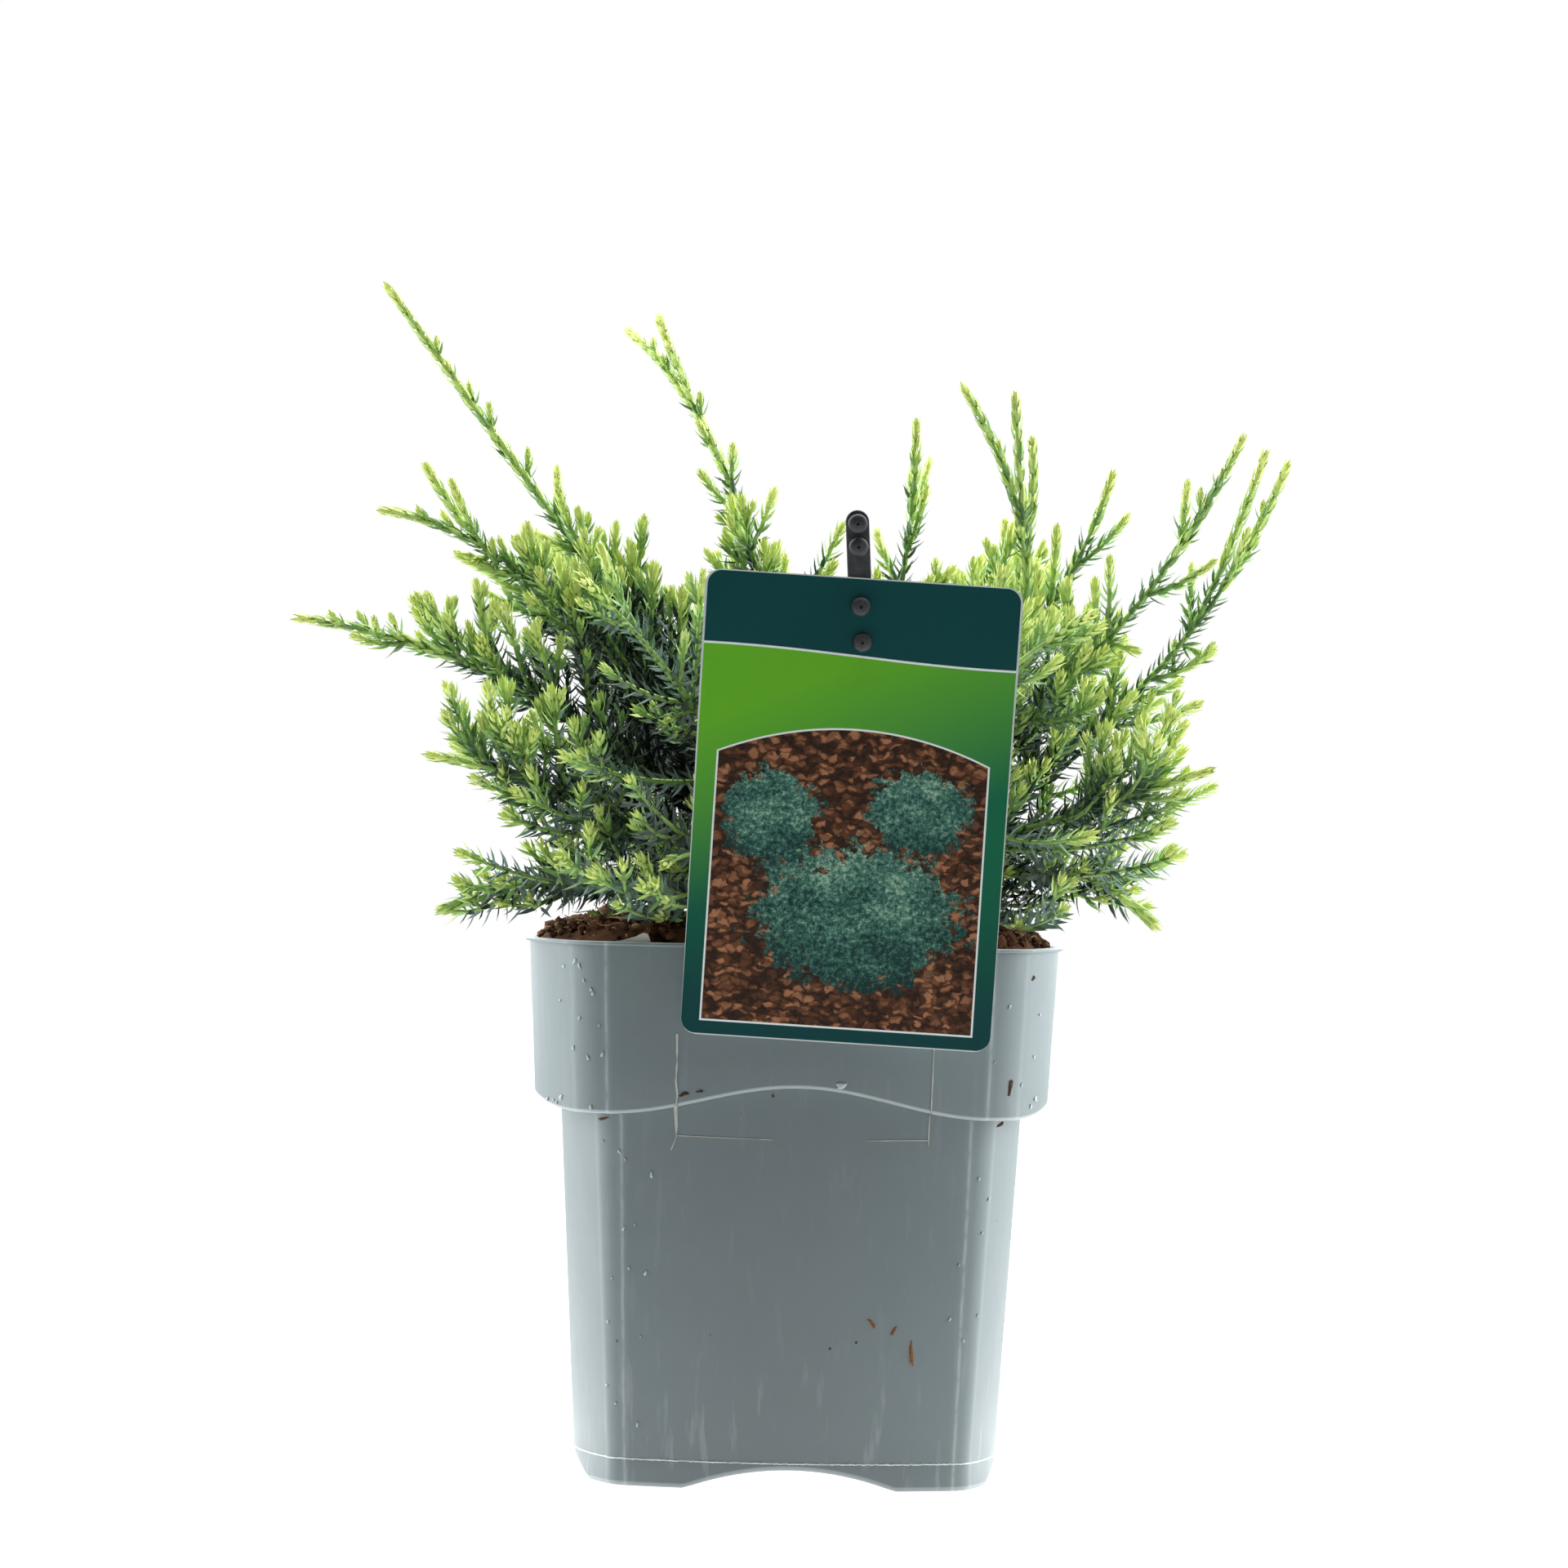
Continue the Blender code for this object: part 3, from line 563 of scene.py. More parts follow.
class Field:
    """A value that varies over a surface, so that Math nodes read as plain sums."""

    def __init__(self, tree, socket):
        self.tree, self.socket = tree, socket

    def math(self, kind, *others):
        node = self.tree.nodes.new("ShaderNodeMath")
        node.operation = kind
        for slot, value in zip(node.inputs, (self, *others)):
            feed(self.tree, value, slot)
        return Field(self.tree, node.outputs[0])

    def __add__(self, other):
        return self.math("ADD", other)

    def __sub__(self, other):
        return self.math("SUBTRACT", other)

    def __mul__(self, other):
        return self.math("MULTIPLY", other)

    def __truediv__(self, other):
        return self.math("DIVIDE", other)

    def absolute(self):
        return self.math("ABSOLUTE")

    def flipped(self):
        return self * -1.0 + 1.0

    def above(self, edge, soft):
        """0 below the edge and 1 above it, with a ramp of the given width."""
        node = self.tree.nodes.new("ShaderNodeMapRange")
        node.interpolation_type = "SMOOTHSTEP"
        feed(self.tree, 0.0, node.inputs["From Min"])
        feed(self.tree, soft, node.inputs["From Max"])
        shifted = self - edge + soft / 2
        feed(self.tree, shifted, node.inputs["Value"])
        return Field(self.tree, node.outputs["Result"])

    def below(self, edge, soft):
        return self.above(edge, soft).flipped()


def feed(tree, value, socket):
    """Links a Field to a socket, or sets the socket to a plain value."""
    if isinstance(value, Field):
        tree.links.new(value.socket, socket)
    elif isinstance(value, bpy.types.NodeSocket):
        tree.links.new(value, socket)
    elif hasattr(value, "__len__") and len(value) == 3 and socket.type == "RGBA":
        socket.default_value = (*value, 1)
    else:
        socket.default_value = value


def mixed(tree, share, low, high):
    """A colour that goes from low to high as the share goes from 0 to 1."""
    node = tree.nodes.new("ShaderNodeMix")
    node.data_type = "RGBA"
    feed(tree, share, node.inputs[0])
    feed(tree, low, node.inputs[6])
    feed(tree, high, node.inputs[7])
    return node.outputs[2]


def fed_node(tree, kind, **sockets):
    """A new node with values or links for its sockets."""
    node = tree.nodes.new(kind)
    for key, value in sockets.items():
        feed(tree, value, node.inputs[key])
    return node


def noise_field(tree, place, scale, detail=3.0, rough=0.55):
    """Soft noise at a place, from 0 to 1."""
    kind = "ShaderNodeTexNoise"
    node = fed_node(tree, kind, Vector=place, Scale=scale, Detail=detail, Roughness=rough)
    return Field(tree, node.outputs["Fac"])


def cell_node(tree, place, scale):
    """Cells at a place, with the distance to each one's seed and its own colour."""
    return fed_node(tree, "ShaderNodeTexVoronoi", Vector=place, Scale=scale)


def parts_of(tree, vector):
    """The three numbers of a vector or a colour."""
    parts = tree.nodes.new("ShaderNodeSeparateXYZ")
    tree.links.new(vector, parts.inputs[0])
    return [Field(tree, output) for output in parts.outputs]


def object_place(tree):
    """Place on the object, which is the place in the frame, as a vector and as numbers."""
    vector = tree.nodes.new("ShaderNodeTexCoord").outputs["Object"]
    return vector, parts_of(tree, vector)


def joined(tree, x, y, z):
    """The vector of three numbers."""
    node = tree.nodes.new("ShaderNodeCombineXYZ")
    for value, socket in zip((x, y, z), node.inputs):
        feed(tree, value, socket)
    return node.outputs[0]


def finish_surface(tree, shader, colour, relief, depth, strength=1.0):
    """Feeds a colour and a relief of the given depth to the shader."""
    feed(tree, colour, shader.inputs["Base Color"])
    node = fed_node(tree, "ShaderNodeBump", Strength=strength, Distance=depth, Height=relief)
    tree.links.new(node.outputs["Normal"], shader.inputs["Normal"])


def white_to_camera(tree, light):
    """Whether a ray is the camera's, and a strength that is 1 for it and the light else."""
    seen = Field(tree, tree.nodes.new("ShaderNodeLightPath").outputs["Is Camera Ray"])
    return seen, light + seen * light.flipped()


def new_material(name, colour, roughness, **sockets):
    """A material with one Principled BSDF, its tree and its shader."""
    made = bpy.data.materials.new(name)
    made.use_nodes = True
    tree = made.node_tree
    shader = tree.nodes["Principled BSDF"]
    feed(tree, colour, shader.inputs["Base Color"])
    feed(tree, roughness, shader.inputs["Roughness"])
    for key, value in sockets.items():
        feed(tree, value, shader.inputs[key.replace("_", " ")])
    made.diffuse_color = (*colour, 1)
    return made, tree, shader


def plain_material(name, colour, roughness):
    """One even colour and roughness, for what is too small to show more."""
    return new_material(name, colour, roughness)[0]


def mottle_group():
    """A node group that varies a colour softly and by fine specks, made once."""
    name = "Mottle"
    if name in bpy.data.node_groups:
        return bpy.data.node_groups[name]
    group = bpy.data.node_groups.new(name, "ShaderNodeTree")
    sockets = {
        "INPUT": {
            "Colour": "Color",
            "Other Colour": "Color",
            "Scale": "Float",
            "Amount": "Float",
        },
        "OUTPUT": {"Colour": "Color", "Mask": "Float"},
    }
    for way, kinds in sockets.items():
        for key, kind in kinds.items():
            group.interface.new_socket(key, in_out=way, socket_type=f"NodeSocket{kind}")
    start = group.nodes.new("NodeGroupInput")
    end = group.nodes.new("NodeGroupOutput")
    vector, _ = object_place(group)
    coarse = noise_field(group, vector, start.outputs["Scale"], 4.0)
    fine_scale = Field(group, start.outputs["Scale"]) * 9.0
    fine = noise_field(group, vector, fine_scale, 2.0)
    mask = (coarse * 0.7 + fine * 0.3).above(0.5, 0.3) * start.outputs["Amount"]
    colour = mixed(group, mask, start.outputs["Colour"], start.outputs["Other Colour"])
    group.links.new(colour, end.inputs["Colour"])
    group.links.new(mask.socket, end.inputs["Mask"])
    return group


def mottled(tree, colour, other, scale, amount):
    """Places the mottle group and returns its colour and mask."""
    node = tree.nodes.new("ShaderNodeGroup")
    node.node_tree = mottle_group()
    for socket, value in zip(node.inputs, (colour, other, scale, amount)):
        feed(tree, value, socket)
    return node.outputs["Colour"], Field(tree, node.outputs["Mask"])


# The pot's shape.


def quarter(level):
    """One side of a level and the corner after it, as (along, out) pairs.

    The side bows outwards as a parabola between its creases. The corner is an arc that
    leaves the crease a little more steeply than the side ends.
    """
    half, crease, bow = level
    edge = half - bow
    start = math.atan(2 * bow / crease) + CREASE_TURN
    radius = (edge - crease) / (math.cos(start) - math.sin(start))
    centre = crease - radius * math.sin(start)
    along = crease * (2 * np.arange(SIDE_POINTS) / SIDE_POINTS - 1)
    side = columns(along, half - bow * (along / crease) ** 2)
    turn = start + (math.pi / 2 - 2 * start) * np.arange(CORNER_POINTS) / CORNER_POINTS
    corner = centre + radius * columns(np.sin(turn), np.cos(turn))
    return np.concatenate([side, corner])


def ring(level, height):
    """The closed outline of a level. Height is a number or a function of along and turn.

    Turn counts the sides from the front, so it is odd on the left and the right.
    """
    along, out = quarter(level).T
    turns = []
    for turn in range(4):
        cosine, sine = round(math.cos(turn * TAU / 4)), round(math.sin(turn * TAU / 4))
        x = along * cosine + out * sine
        y = along * sine - out * cosine
        turns.append(columns(x, y, height(along, turn) if callable(height) else height))
    return np.concatenate(turns)


def inset(level, by):
    """The same outline moved inwards by a distance, all its sizes in proportion."""
    share = (level[0] - by) / level[0]
    return level[0] - by, level[1] * share, level[2] * share


def between(low, high, share):
    """A row of sizes or a colour, a share of the way from low to high."""
    return tuple(a + (b - a) * share for a, b in zip(low, high))


def arch(along, turn):
    """The low arch in the middle of each side of the foot."""
    return ARCH_RISE * np.maximum(0.0, 1 - (along / ARCH_HALF) ** 2)


def lip(along, turn=0):
    """The wavy lower edge of the collar, highest in the middle of each side."""
    share = np.minimum(np.abs(along) / LIP_WAVE_HALF, 1)
    wave = SIDE_LIP_WAVE if turn % 2 else LIP_WAVE
    return LIP_LOW + wave * (1 + np.cos(math.pi * share)) / 2


def raised(curve, by):
    """A curve of heights, moved up by a distance."""
    return lambda along, turn: curve(along, turn) + by


def towards(curve, goal, share):
    """A curve of heights, moved a share of the way to another curve or to a number."""

    def height(along, turn):
        start = curve(along, turn) if callable(curve) else curve
        end = goal(along, turn) if callable(goal) else goal
        return start + (end - start) * share

    return height


def ragged(rise):
    """The height of the moulding line, which wanders a little as it goes round."""
    return lambda along, turn: FLASH_HEIGHT + rise + 0.1 * MM * np.sin(along / (2.3 * MM))


def pot_rings():
    """The rings of the pot: under its floor, up its outside, over its rim and down.

    Rounded edges are quarter circles in the plane of height and way out. The moulding
    line above the foot is a low ridge.
    """

    def rounded(level, curve, radius):
        for turn in np.linspace(0, TAU / 4, 6):
            rise = raised(curve, radius * (1 - math.cos(turn)))
            rings.append(ring(inset(level, radius * (1 - math.sin(turn))), rise))

    inner_foot = inset(BASE, BEVEL + FOOT_WIDTH)
    rings = [ring(inner_foot, FLOOR_UNDER), ring(inner_foot, arch)]
    rounded(BASE, arch, BEVEL)
    for rise, out in ((-0.35, 0), (-0.12, 1), (0.12, 1), (0.35, 0)):
        rings.append(ring(inset(BASE, -FLASH_OUT * out), ragged(rise * MM)))
    shoulder = raised(lip, LIP_ROUND)
    for share in np.linspace(0.1, 1, 10):
        level = between(BASE, SHOULDER, share)
        rings.append(ring(level, towards(FLASH_HEIGHT, shoulder, share)))
    rounded(COLLAR_FOOT, lip, LIP_ROUND)
    bead_foot = POT_HEIGHT - BEAD_TALL
    for share in (0.25, 0.5, 0.75, 1):
        level = between(COLLAR_FOOT, COLLAR_TOP, share)
        rings.append(ring(level, towards(shoulder, bead_foot, share)))
    for turn in np.linspace(0.08, 0.92, 8) * math.pi:
        out = BEAD_OUT * math.sin(turn) ** 0.6
        rise = BEAD_TALL * (1 - math.cos(turn)) / 2
        rings.append(ring(inset(COLLAR_TOP, -out), bead_foot + rise))
    for share, drop in ((0.2, 0), (0.8, 0.1), (1, 0.5)):
        rings.append(ring(inset(COLLAR_TOP, share * WALL), POT_HEIGHT - drop * MM))
    inside = raised(lip, LIP_ROUND + WALL)
    for level, height in ((COLLAR_FOOT, inside), (SHOULDER, inside), (BASE, FLOOR_TOP)):
        rings.append(ring(inset(level, WALL), height))
    return rings


def cut_holes(piece, places, radius, low, high):
    """Cuts upright round holes through a piece by a Boolean, and keeps the result."""
    turns = np.linspace(0, TAU, 24, endpoint=False)
    holes = Shape()
    for x, y in places:
        circle = x + radius * np.cos(turns), y + radius * np.sin(turns)
        holes.shell([columns(*circle, z) for z in (low, high)])
    tool = new_object("holes", holes.mesh("holes"))
    step = piece.modifiers.new("holes", "BOOLEAN")
    step.object = tool
    graph = bpy.context.evaluated_depsgraph_get()
    mesh = bpy.data.meshes.new_from_object(piece.evaluated_get(graph))
    piece.modifiers.clear()
    piece.data = mesh
    bpy.data.objects.remove(tool, do_unlink=True)


def front_outline(level):
    """Half of a level's outline, from the middle of its front to that of its side."""
    whole = ring(level, 0.0)[:, :2]
    return whole[SIDE_POINTS // 2 : SIDE_POINTS + CORNER_POINTS + SIDE_POINTS // 2 + 1]


def on_pot(x, z, lift):
    """Points on the pot's wall at places seen from the front, raised off it by a lift.

    The wall is a straight run between two levels: foot and shoulder, or collar foot and
    collar top. A place is looked up on the outline that lies its share between them.
    """
    x, z = np.asarray(x, float), np.asarray(z, float)
    edge = lip(x)
    on_collar = z > edge
    low = np.where(on_collar, edge, FLASH_HEIGHT)
    high = np.where(on_collar, POT_HEIGHT - BEAD_TALL, edge)
    share = np.clip((z - low) / (high - low), 0, 1)[:, None, None]
    levels = [front_outline(level) for level in (BASE, SHOULDER, COLLAR_FOOT, COLLAR_TOP)]
    body, collar = (a + (b - a) * share for a, b in (levels[:2], levels[2:]))
    wall = np.where(on_collar[:, None, None], collar, body)
    reach = np.minimum(np.abs(x), wall[:, -1, 0] - 0.01 * MM)
    last = np.clip((wall[:, :, 0] < reach[:, None]).sum(axis=1), 1, wall.shape[1] - 1)
    row = np.arange(len(x))
    start, end = wall[row, last - 1], wall[row, last]
    run = end - start
    part = (reach - start[:, 0]) / run[:, 0]
    away = columns(-run[:, 1], run[:, 0])
    away /= -np.linalg.norm(away, axis=1)[:, None]
    place = start + run * part[:, None] + away * lift
    return columns(place[:, 0] * np.where(x < 0, -1, 1), place[:, 1], z)


def pot_material(settings):
    """Grey moulded plastic, with pale painted highlights along its creases, lip and rim.

    Its marks are bands of distance: to the creases where the corners start, to the
    moulding line, to the collar's lower edge and to the rim. The bands at the creases, the
    collar's lower edge and the rim are painted highlights.
    """
    made, tree, shader = new_material("pot_plastic", settings.colour, settings.gloss)
    vector, (x, y, z) = object_place(tree)
    colour, _ = mottled(tree, settings.colour, settings.worn_colour, 22.0, 0.35)
    streaks = noise_field(tree, joined(tree, x, y, z * 0.14), 260.0, 3.0).above(0.64, 0.16)
    low = z.below(34 * MM, 30 * MM) * 0.08 + 0.03
    along = x.absolute().math("MINIMUM", y.absolute())
    wander = noise_field(tree, vector, 110.0, 4.0) * (0.7 * MM) - 0.35 * MM
    on_collar = (z - LIP_LOW).above(0.0, 1 * MM) * (4.6 * MM)
    slope = (SHOULDER[1] - BASE[1]) / (LIP_LOW - FLASH_HEIGHT)
    crease = along + wander - on_collar - z * slope - BASE[1]
    front = x.absolute().math("LESS_THAN", y.absolute())
    broken = noise_field(tree, vector, 160.0, 4.0).above(0.40, 0.35)
    # The thin and soft pale lines along the creases are painted highlights, where the corners
    # start to turn towards the light.
    thin = crease.absolute().below(0.4 * MM, 0.9 * MM) * broken * 0.2
    soft = crease.absolute().below(1.0 * MM, 2.6 * MM) * 0.07

    # A pale band just above the collar's lower edge: a painted highlight on the lip.
    share = (along / LIP_WAVE_HALF).math("MINIMUM", 1.0)
    wave = front * (LIP_WAVE - SIDE_LIP_WAVE) + SIDE_LIP_WAVE
    edge = z - ((share * math.pi).math("COSINE") + 1.0) * 0.5 * wave - LIP_LOW
    lip_highlight = (edge - 0.45 * MM).absolute().below(0.65 * MM, 0.5 * MM) * 0.24
    # A pale line round the top of the rim: a painted highlight.
    rim = z.above(POT_HEIGHT - 0.4 * MM, 0.3 * MM) * 0.3
    arched = (along / ARCH_HALF).math("POWER", 2.0).flipped().math("MAXIMUM", 0.0)
    foot = (z - arched * ARCH_RISE).below(1.5 * MM, 0.5 * MM) * 0.22
    # The streaks and the band along the foot are pale bands of colour; those at the creases,
    # the lip and the rim are painted highlights.
    for mark in (streaks * low, thin * front, soft, lip_highlight, rim, foot):
        colour = mixed(tree, mark, colour, settings.highlight_and_mark_colour)

    jagged = noise_field(tree, vector, 700.0, 3.0) * (0.8 * MM) - 0.4 * MM
    flash = (z - FLASH_HEIGHT + jagged).absolute().below(0.18 * MM, 0.25 * MM)
    colour = mixed(tree, flash * 0.8, colour, FLASH_COLOUR)
    dots = Field(tree, cell_node(tree, vector, 60.0).outputs["Distance"]).below(0.03, 0.01)
    colour = mixed(tree, dots * 0.8, colour, DIRT_COLOUR)
    grain = noise_field(tree, vector, 900.0, 2.0)
    finish_surface(tree, shader, colour, grain, 0.02 * MM, 0.5)
    rough = noise_field(tree, vector, 35.0, 4.0) * 0.16 + (settings.gloss - 0.08)
    feed(tree, rough, shader.inputs["Roughness"])
    return made


# Marks on the pot's front, at x and z on the wall, in millimetres. A splinter's numbers
# are its place, length, width and lean in degrees.
FILM_RUNS = (
    ((-39.1, 146), (-38.9, 137), (-39.2, 131), (-38.6, 126.5), (-39.2, 122), (-38.5, 113)),
    ((-38.7, 124), (-38.3, 116), (-38.6, 112.5), (-40.1, 108.5)),
    ((-38.6, 113.2), (-24, 112.9), (-8, 112.6)),
    ((22, 112.8), (42.4, 113.1)),
    ((43.0, 146), (42.7, 131), (42.4, 119), (42.2, 111.2)),
)
FILM_WIDE = (0.65, 0.5, 0.3, 0.35, 0.4)
FILM_COLOUR = (0.38, 0.37, 0.33)
WATER_COLOUR = (0.32, 0.37, 0.38)
SPLINTER_COLOURS = {"peat": (0.035, 0.022, 0.014), "wood": (0.24, 0.10, 0.035)}
SPLINTER_GRAIN = (0.10, 0.05, 0.025)
FLAP = ((-61, 0.2), (-57, 0.9), (-53, 2.1), (-50.5, 3.4), (-49, 3.0), (-48, 0.3))
CHIPS = (
    (68.3, 130.6, 5.4, 1.1, 8, "peat"),
    (66.2, 118.0, 2.6, 0.9, 60, "peat"),
    (25.3, 54.2, 3.6, 1.1, -38, "wood"),
    (32.4, 51.7, 3.0, 1.0, 28, "wood"),
    (38.3, 44.5, 7.6, 1.2, -4, "wood"),
    (-36.5, 126.8, 3.2, 1.2, 70, "peat"),
    (-31.5, 127.8, 2.4, 0.7, 80, "peat"),
    (75.5, 165.5, 1.8, 0.9, 30, "peat"),
    (-8.0, 126.6, 1.0, 0.7, 0, "peat"),
    (-62.0, 117.8, 3.0, 0.8, 75, "peat"),
    (20.4, 48.0, 0.8, 0.6, 0, "peat"),
    (12.0, 46.0, 0.8, 0.5, 0, "peat"),
)


def wall_ribbon(shape, route, wide, thick):
    """A thin closed strip that lies on the pot's front along a route of x and z."""
    route = np.array(route) * MM
    long = path_length(route)
    x, z = points_at(route, np.linspace(0, long, max(int(long / (0.8 * MM)), 3))).T
    way = np.gradient(columns(x, z), axis=0)
    way /= np.linalg.norm(way, axis=1)[:, None]
    wide = wide * MM / 2 * (0.72 + 0.5 * value_noise(columns(x, z, 0), 2.6 * MM, 5))
    over, up = way[:, 1] * wide, way[:, 0] * wide
    corners = ((-1, 0), (-1, thick), (1, thick), (1, 0))
    rows = [on_pot(x + side * over, z - side * up, lift) for side, lift in corners]
    shape.shell(np.stack(rows, axis=1))


def chip(shape, x, z, long, wide, lean, seed):
    """A flat splinter on the wall: an uneven oval dome, long and wide in millimetres."""
    turns = np.linspace(0, TAU, 12, endpoint=False)
    rows = []
    for share, lift in ((1.0, -0.05), (1.0, 0.12), (0.6, 0.4)):
        uneven = 1 + 0.22 * np.sin(3 * turns + seed) + 0.15 * np.sin(5 * turns + 2 * seed)
        a = long / 2 * share * np.sign(np.sin(turns)) * np.abs(np.sin(turns)) ** 0.7 * uneven
        b = wide / 2 * share * np.cos(turns) * uneven
        lean_by = math.radians(lean)
        at_x = (x + b * math.cos(lean_by) + a * math.sin(lean_by)) * MM
        at_z = (z - b * math.sin(lean_by) + a * math.cos(lean_by)) * MM
        rows.append(on_pot(at_x, at_z, lift * MM))
    shape.shell(rows, turned=True)


def add_flap(shape, thick):
    """A torn flap of film that stands up from the rim, over the front wall."""
    x, rise = np.array(FLAP).T * MM
    y = on_pot(x, 0 * x + 172 * MM, -0.5 * MM)[:, 1]
    low, high = POT_HEIGHT - 1 * MM, POT_HEIGHT - 0.4 * MM + rise
    corners = ((y, low), (y - thick, low), (y - thick, high), (y, high))
    shape.shell(np.stack([columns(x, *corner) for corner in corners], axis=1))


def drop_places(count):
    """Seeded places of water drops on the pot's front, most of them near its corners.

    Each has its x and z, its width, its length against that, and its lean. The last one
    is a larger drop on the front.
    """
    draw = np.random.default_rng(SEED + 5)
    places = []
    for _ in range(count):
        collar = draw.uniform() < 0.7
        z = draw.uniform(120, 170) if collar else draw.uniform(15, 112)
        x = draw.uniform(60, 80) if collar else draw.uniform(46, 58 + z / 20)
        x = x * (1 if draw.uniform() < 0.3 else -1)
        longer, lean = draw.uniform(1.3, 2.9), draw.uniform(-25, 25)
        places.append((x, z, draw.uniform(0.35, 0.85), longer, lean))
    places.append((13.4, 130.7, 2.2, 1.5, 90))
    return places


# The soil's shape.


def soil_height(x, y, inside):
    """Height of the soil surface at places that lie this far inside the wall."""
    heap = SOIL_HEAP * np.sin(x / SOIL_WAVES[0] + 1.3) * np.cos(y / SOIL_WAVES[1] + 0.4)
    away = np.clip((np.hypot(x, y) - TRUNK_PATCH) / PATCH_EDGE, 0, 1)
    open_ground = GROUND + (heap + SOIL_SIDE_RISE * np.abs(x)) * away
    share = np.minimum(inside / SOIL_SLOPE, 1)
    return SOIL_AT_WALL + (open_ground - SOIL_AT_WALL) * share * (2 - share)


def soil_rings():
    """Rings of the soil: up its sides, then inwards over its crumbly top."""
    clear = WALL + SOIL_GAP
    rise = raised(lip, LIP_ROUND + clear)
    rings = [
        ring(inset(BASE, clear), FLOOR_TOP + SOIL_GAP),
        ring(inset(SHOULDER, clear), rise),
        ring(inset(COLLAR_FOOT, clear), rise),
        ring(inset(COLLAR_TOP, clear), SOIL_AT_WALL),
    ]
    edge = inset(COLLAR_TOP, clear)
    for inside in np.linspace(1.0, 83, 62) * MM:
        flat = ring(inset(edge, inside), 0.0)
        x, y = flat[:, 0], flat[:, 1]
        flat[:, 2] = soil_height(x, y, inside)
        crumbly = layered_noise(flat, 7 * MM, 3, 4) * 1.5 * MM
        flat[:, 2] += crumbly * min(inside / (4 * MM), 1)
        rings.append(flat)
    return rings


def lump_ring(shift, height):
    """Five points on a ball at a height, turned by a share of the step between them."""
    radius = 0.894
    turns = [(k + shift) * TAU / 5 for k in range(5)]
    return [(math.cos(t) * radius, math.sin(t) * radius, height) for t in turns]


NEXT = [(k, (k + 1) % 5) for k in range(5)]
LUMP_POINTS = np.array([(0, 0, 1), *lump_ring(0, 0.447), *lump_ring(0.5, -0.447), (0, 0, -1)])
LUMP_FACES = np.array(
    [(0, 1 + k, 1 + n) for k, n in NEXT]
    + [(1 + k, 6 + k, 1 + n) for k, n in NEXT]
    + [(1 + n, 6 + k, 6 + n) for k, n in NEXT]
    + [(11, 6 + n, 6 + k) for k, n in NEXT]
)


def scatter_lumps(shape, places, sizes, draw):
    """Copies of a rough twenty-faced lump, each squashed, turned and dented by chance."""
    count = len(places)
    squash = draw.uniform(0.45, 1.3, (count, 1, 3)) * (1, 1, 0.75)
    dents = draw.uniform(0.75, 1.2, (count, len(LUMP_POINTS), 1))
    turn = draw.uniform(0, TAU, count)
    cosine, sine = np.cos(turn)[:, None], np.sin(turn)[:, None]
    points = LUMP_POINTS[None] * squash * dents * np.asarray(sizes)[:, None, None]
    x = points[:, :, 0] * cosine - points[:, :, 1] * sine
    y = points[:, :, 0] * sine + points[:, :, 1] * cosine
    points = columns(x, y, points[:, :, 2]) + np.asarray(places)[:, None]
    offsets = np.arange(count)[:, None, None] * len(LUMP_POINTS)
    shape.add(points, (LUMP_FACES[None] + offsets).reshape(-1, 3))


def soil_places(count, draw, least_inside=1.5):
    """Seeded places on the soil's surface, even over its square."""
    half, crease, bow = inset(COLLAR_TOP, WALL + SOIL_GAP)
    x, y = draw.uniform(-half, half, (2, count * 2))
    inside_x = half - bow * (y / crease) ** 2 - np.abs(x)
    inside_y = half - bow * (x / crease) ** 2 - np.abs(y)
    inside = np.minimum(inside_x, inside_y)
    corner = np.abs(x) + np.abs(y) < CORNER_CUT * half
    keep = (inside > least_inside * MM) & corner & (np.hypot(x, y) > FLARE_RADIUS + 0.5 * MM)
    x, y, inside = x[keep][:count], y[keep][:count], inside[keep][:count]
    return columns(x, y, soil_height(x, y, inside))


def fibre(shape, start, way, long, radius, draw):
    """A thin three-sided thread that lies on the soil in a gentle curve."""
    t = np.linspace(0, 1, 6)
    bend = draw.uniform(-0.35, 0.35)
    across = np.array((-way[1], way[0], 0))
    path = start + long * (t[:, None] * way + bend * (t * (1 - t))[:, None] * across)
    path[:, 2] += 0.6 * MM * np.sin(t * math.pi * draw.uniform(1, 2.5))
    radii = radius * np.array((0.5, 1, 1, 1, 0.8, 0.3))
    shape.shell(tube_rings(path, radii, 3))


def soil_material(name, colour, other, scale):
    """Dull, grainy peat or wood in two mottled colours."""
    made, tree, shader = new_material(name, colour, 0.95, Specular_IOR_Level=0.15)
    vector, _ = object_place(tree)
    tone, _ = mottled(tree, colour, other, scale, 0.9)
    grain = noise_field(tree, vector, 1400.0, 4.0, 0.7)
    finish_surface(tree, shader, tone, grain, 0.6 * MM, 0.8)
    return made


# The plant's shape: the source's rule for stems and shoots, carried to finer twigs.


def trunk_axis(height):
    """Centre of the trunk at heights above the soil."""
    share = np.asarray(height, float) / TRUNK_TALL
    return columns(TRUNK_LEAN[0] * share, TRUNK_LEAN[1] * share, TRUNK_FOOT + height)


def quadratic(start, knee, tip, count):
    """Points along a quadratic curve that starts towards its knee."""
    t = np.linspace(0, 1, count)[:, None]
    return (1 - t) ** 2 * start + 2 * t * (1 - t) * knee + t**2 * tip


def stem_path(name):
    """Points along the whole stem: a quadratic curve from the trunk by its knee."""
    bearing, reach, height, knee_reach, knee_height, leave = STEMS[name][:6]
    turn = math.radians(bearing)
    way = np.array((math.cos(turn), math.sin(turn), 0))
    knee = UP * GROUND + way * knee_reach * MM + UP * knee_height * MM
    tip = UP * GROUND + way * reach * MM + UP * height * MM
    return quadratic(trunk_axis(leave * MM), knee, tip, 41)


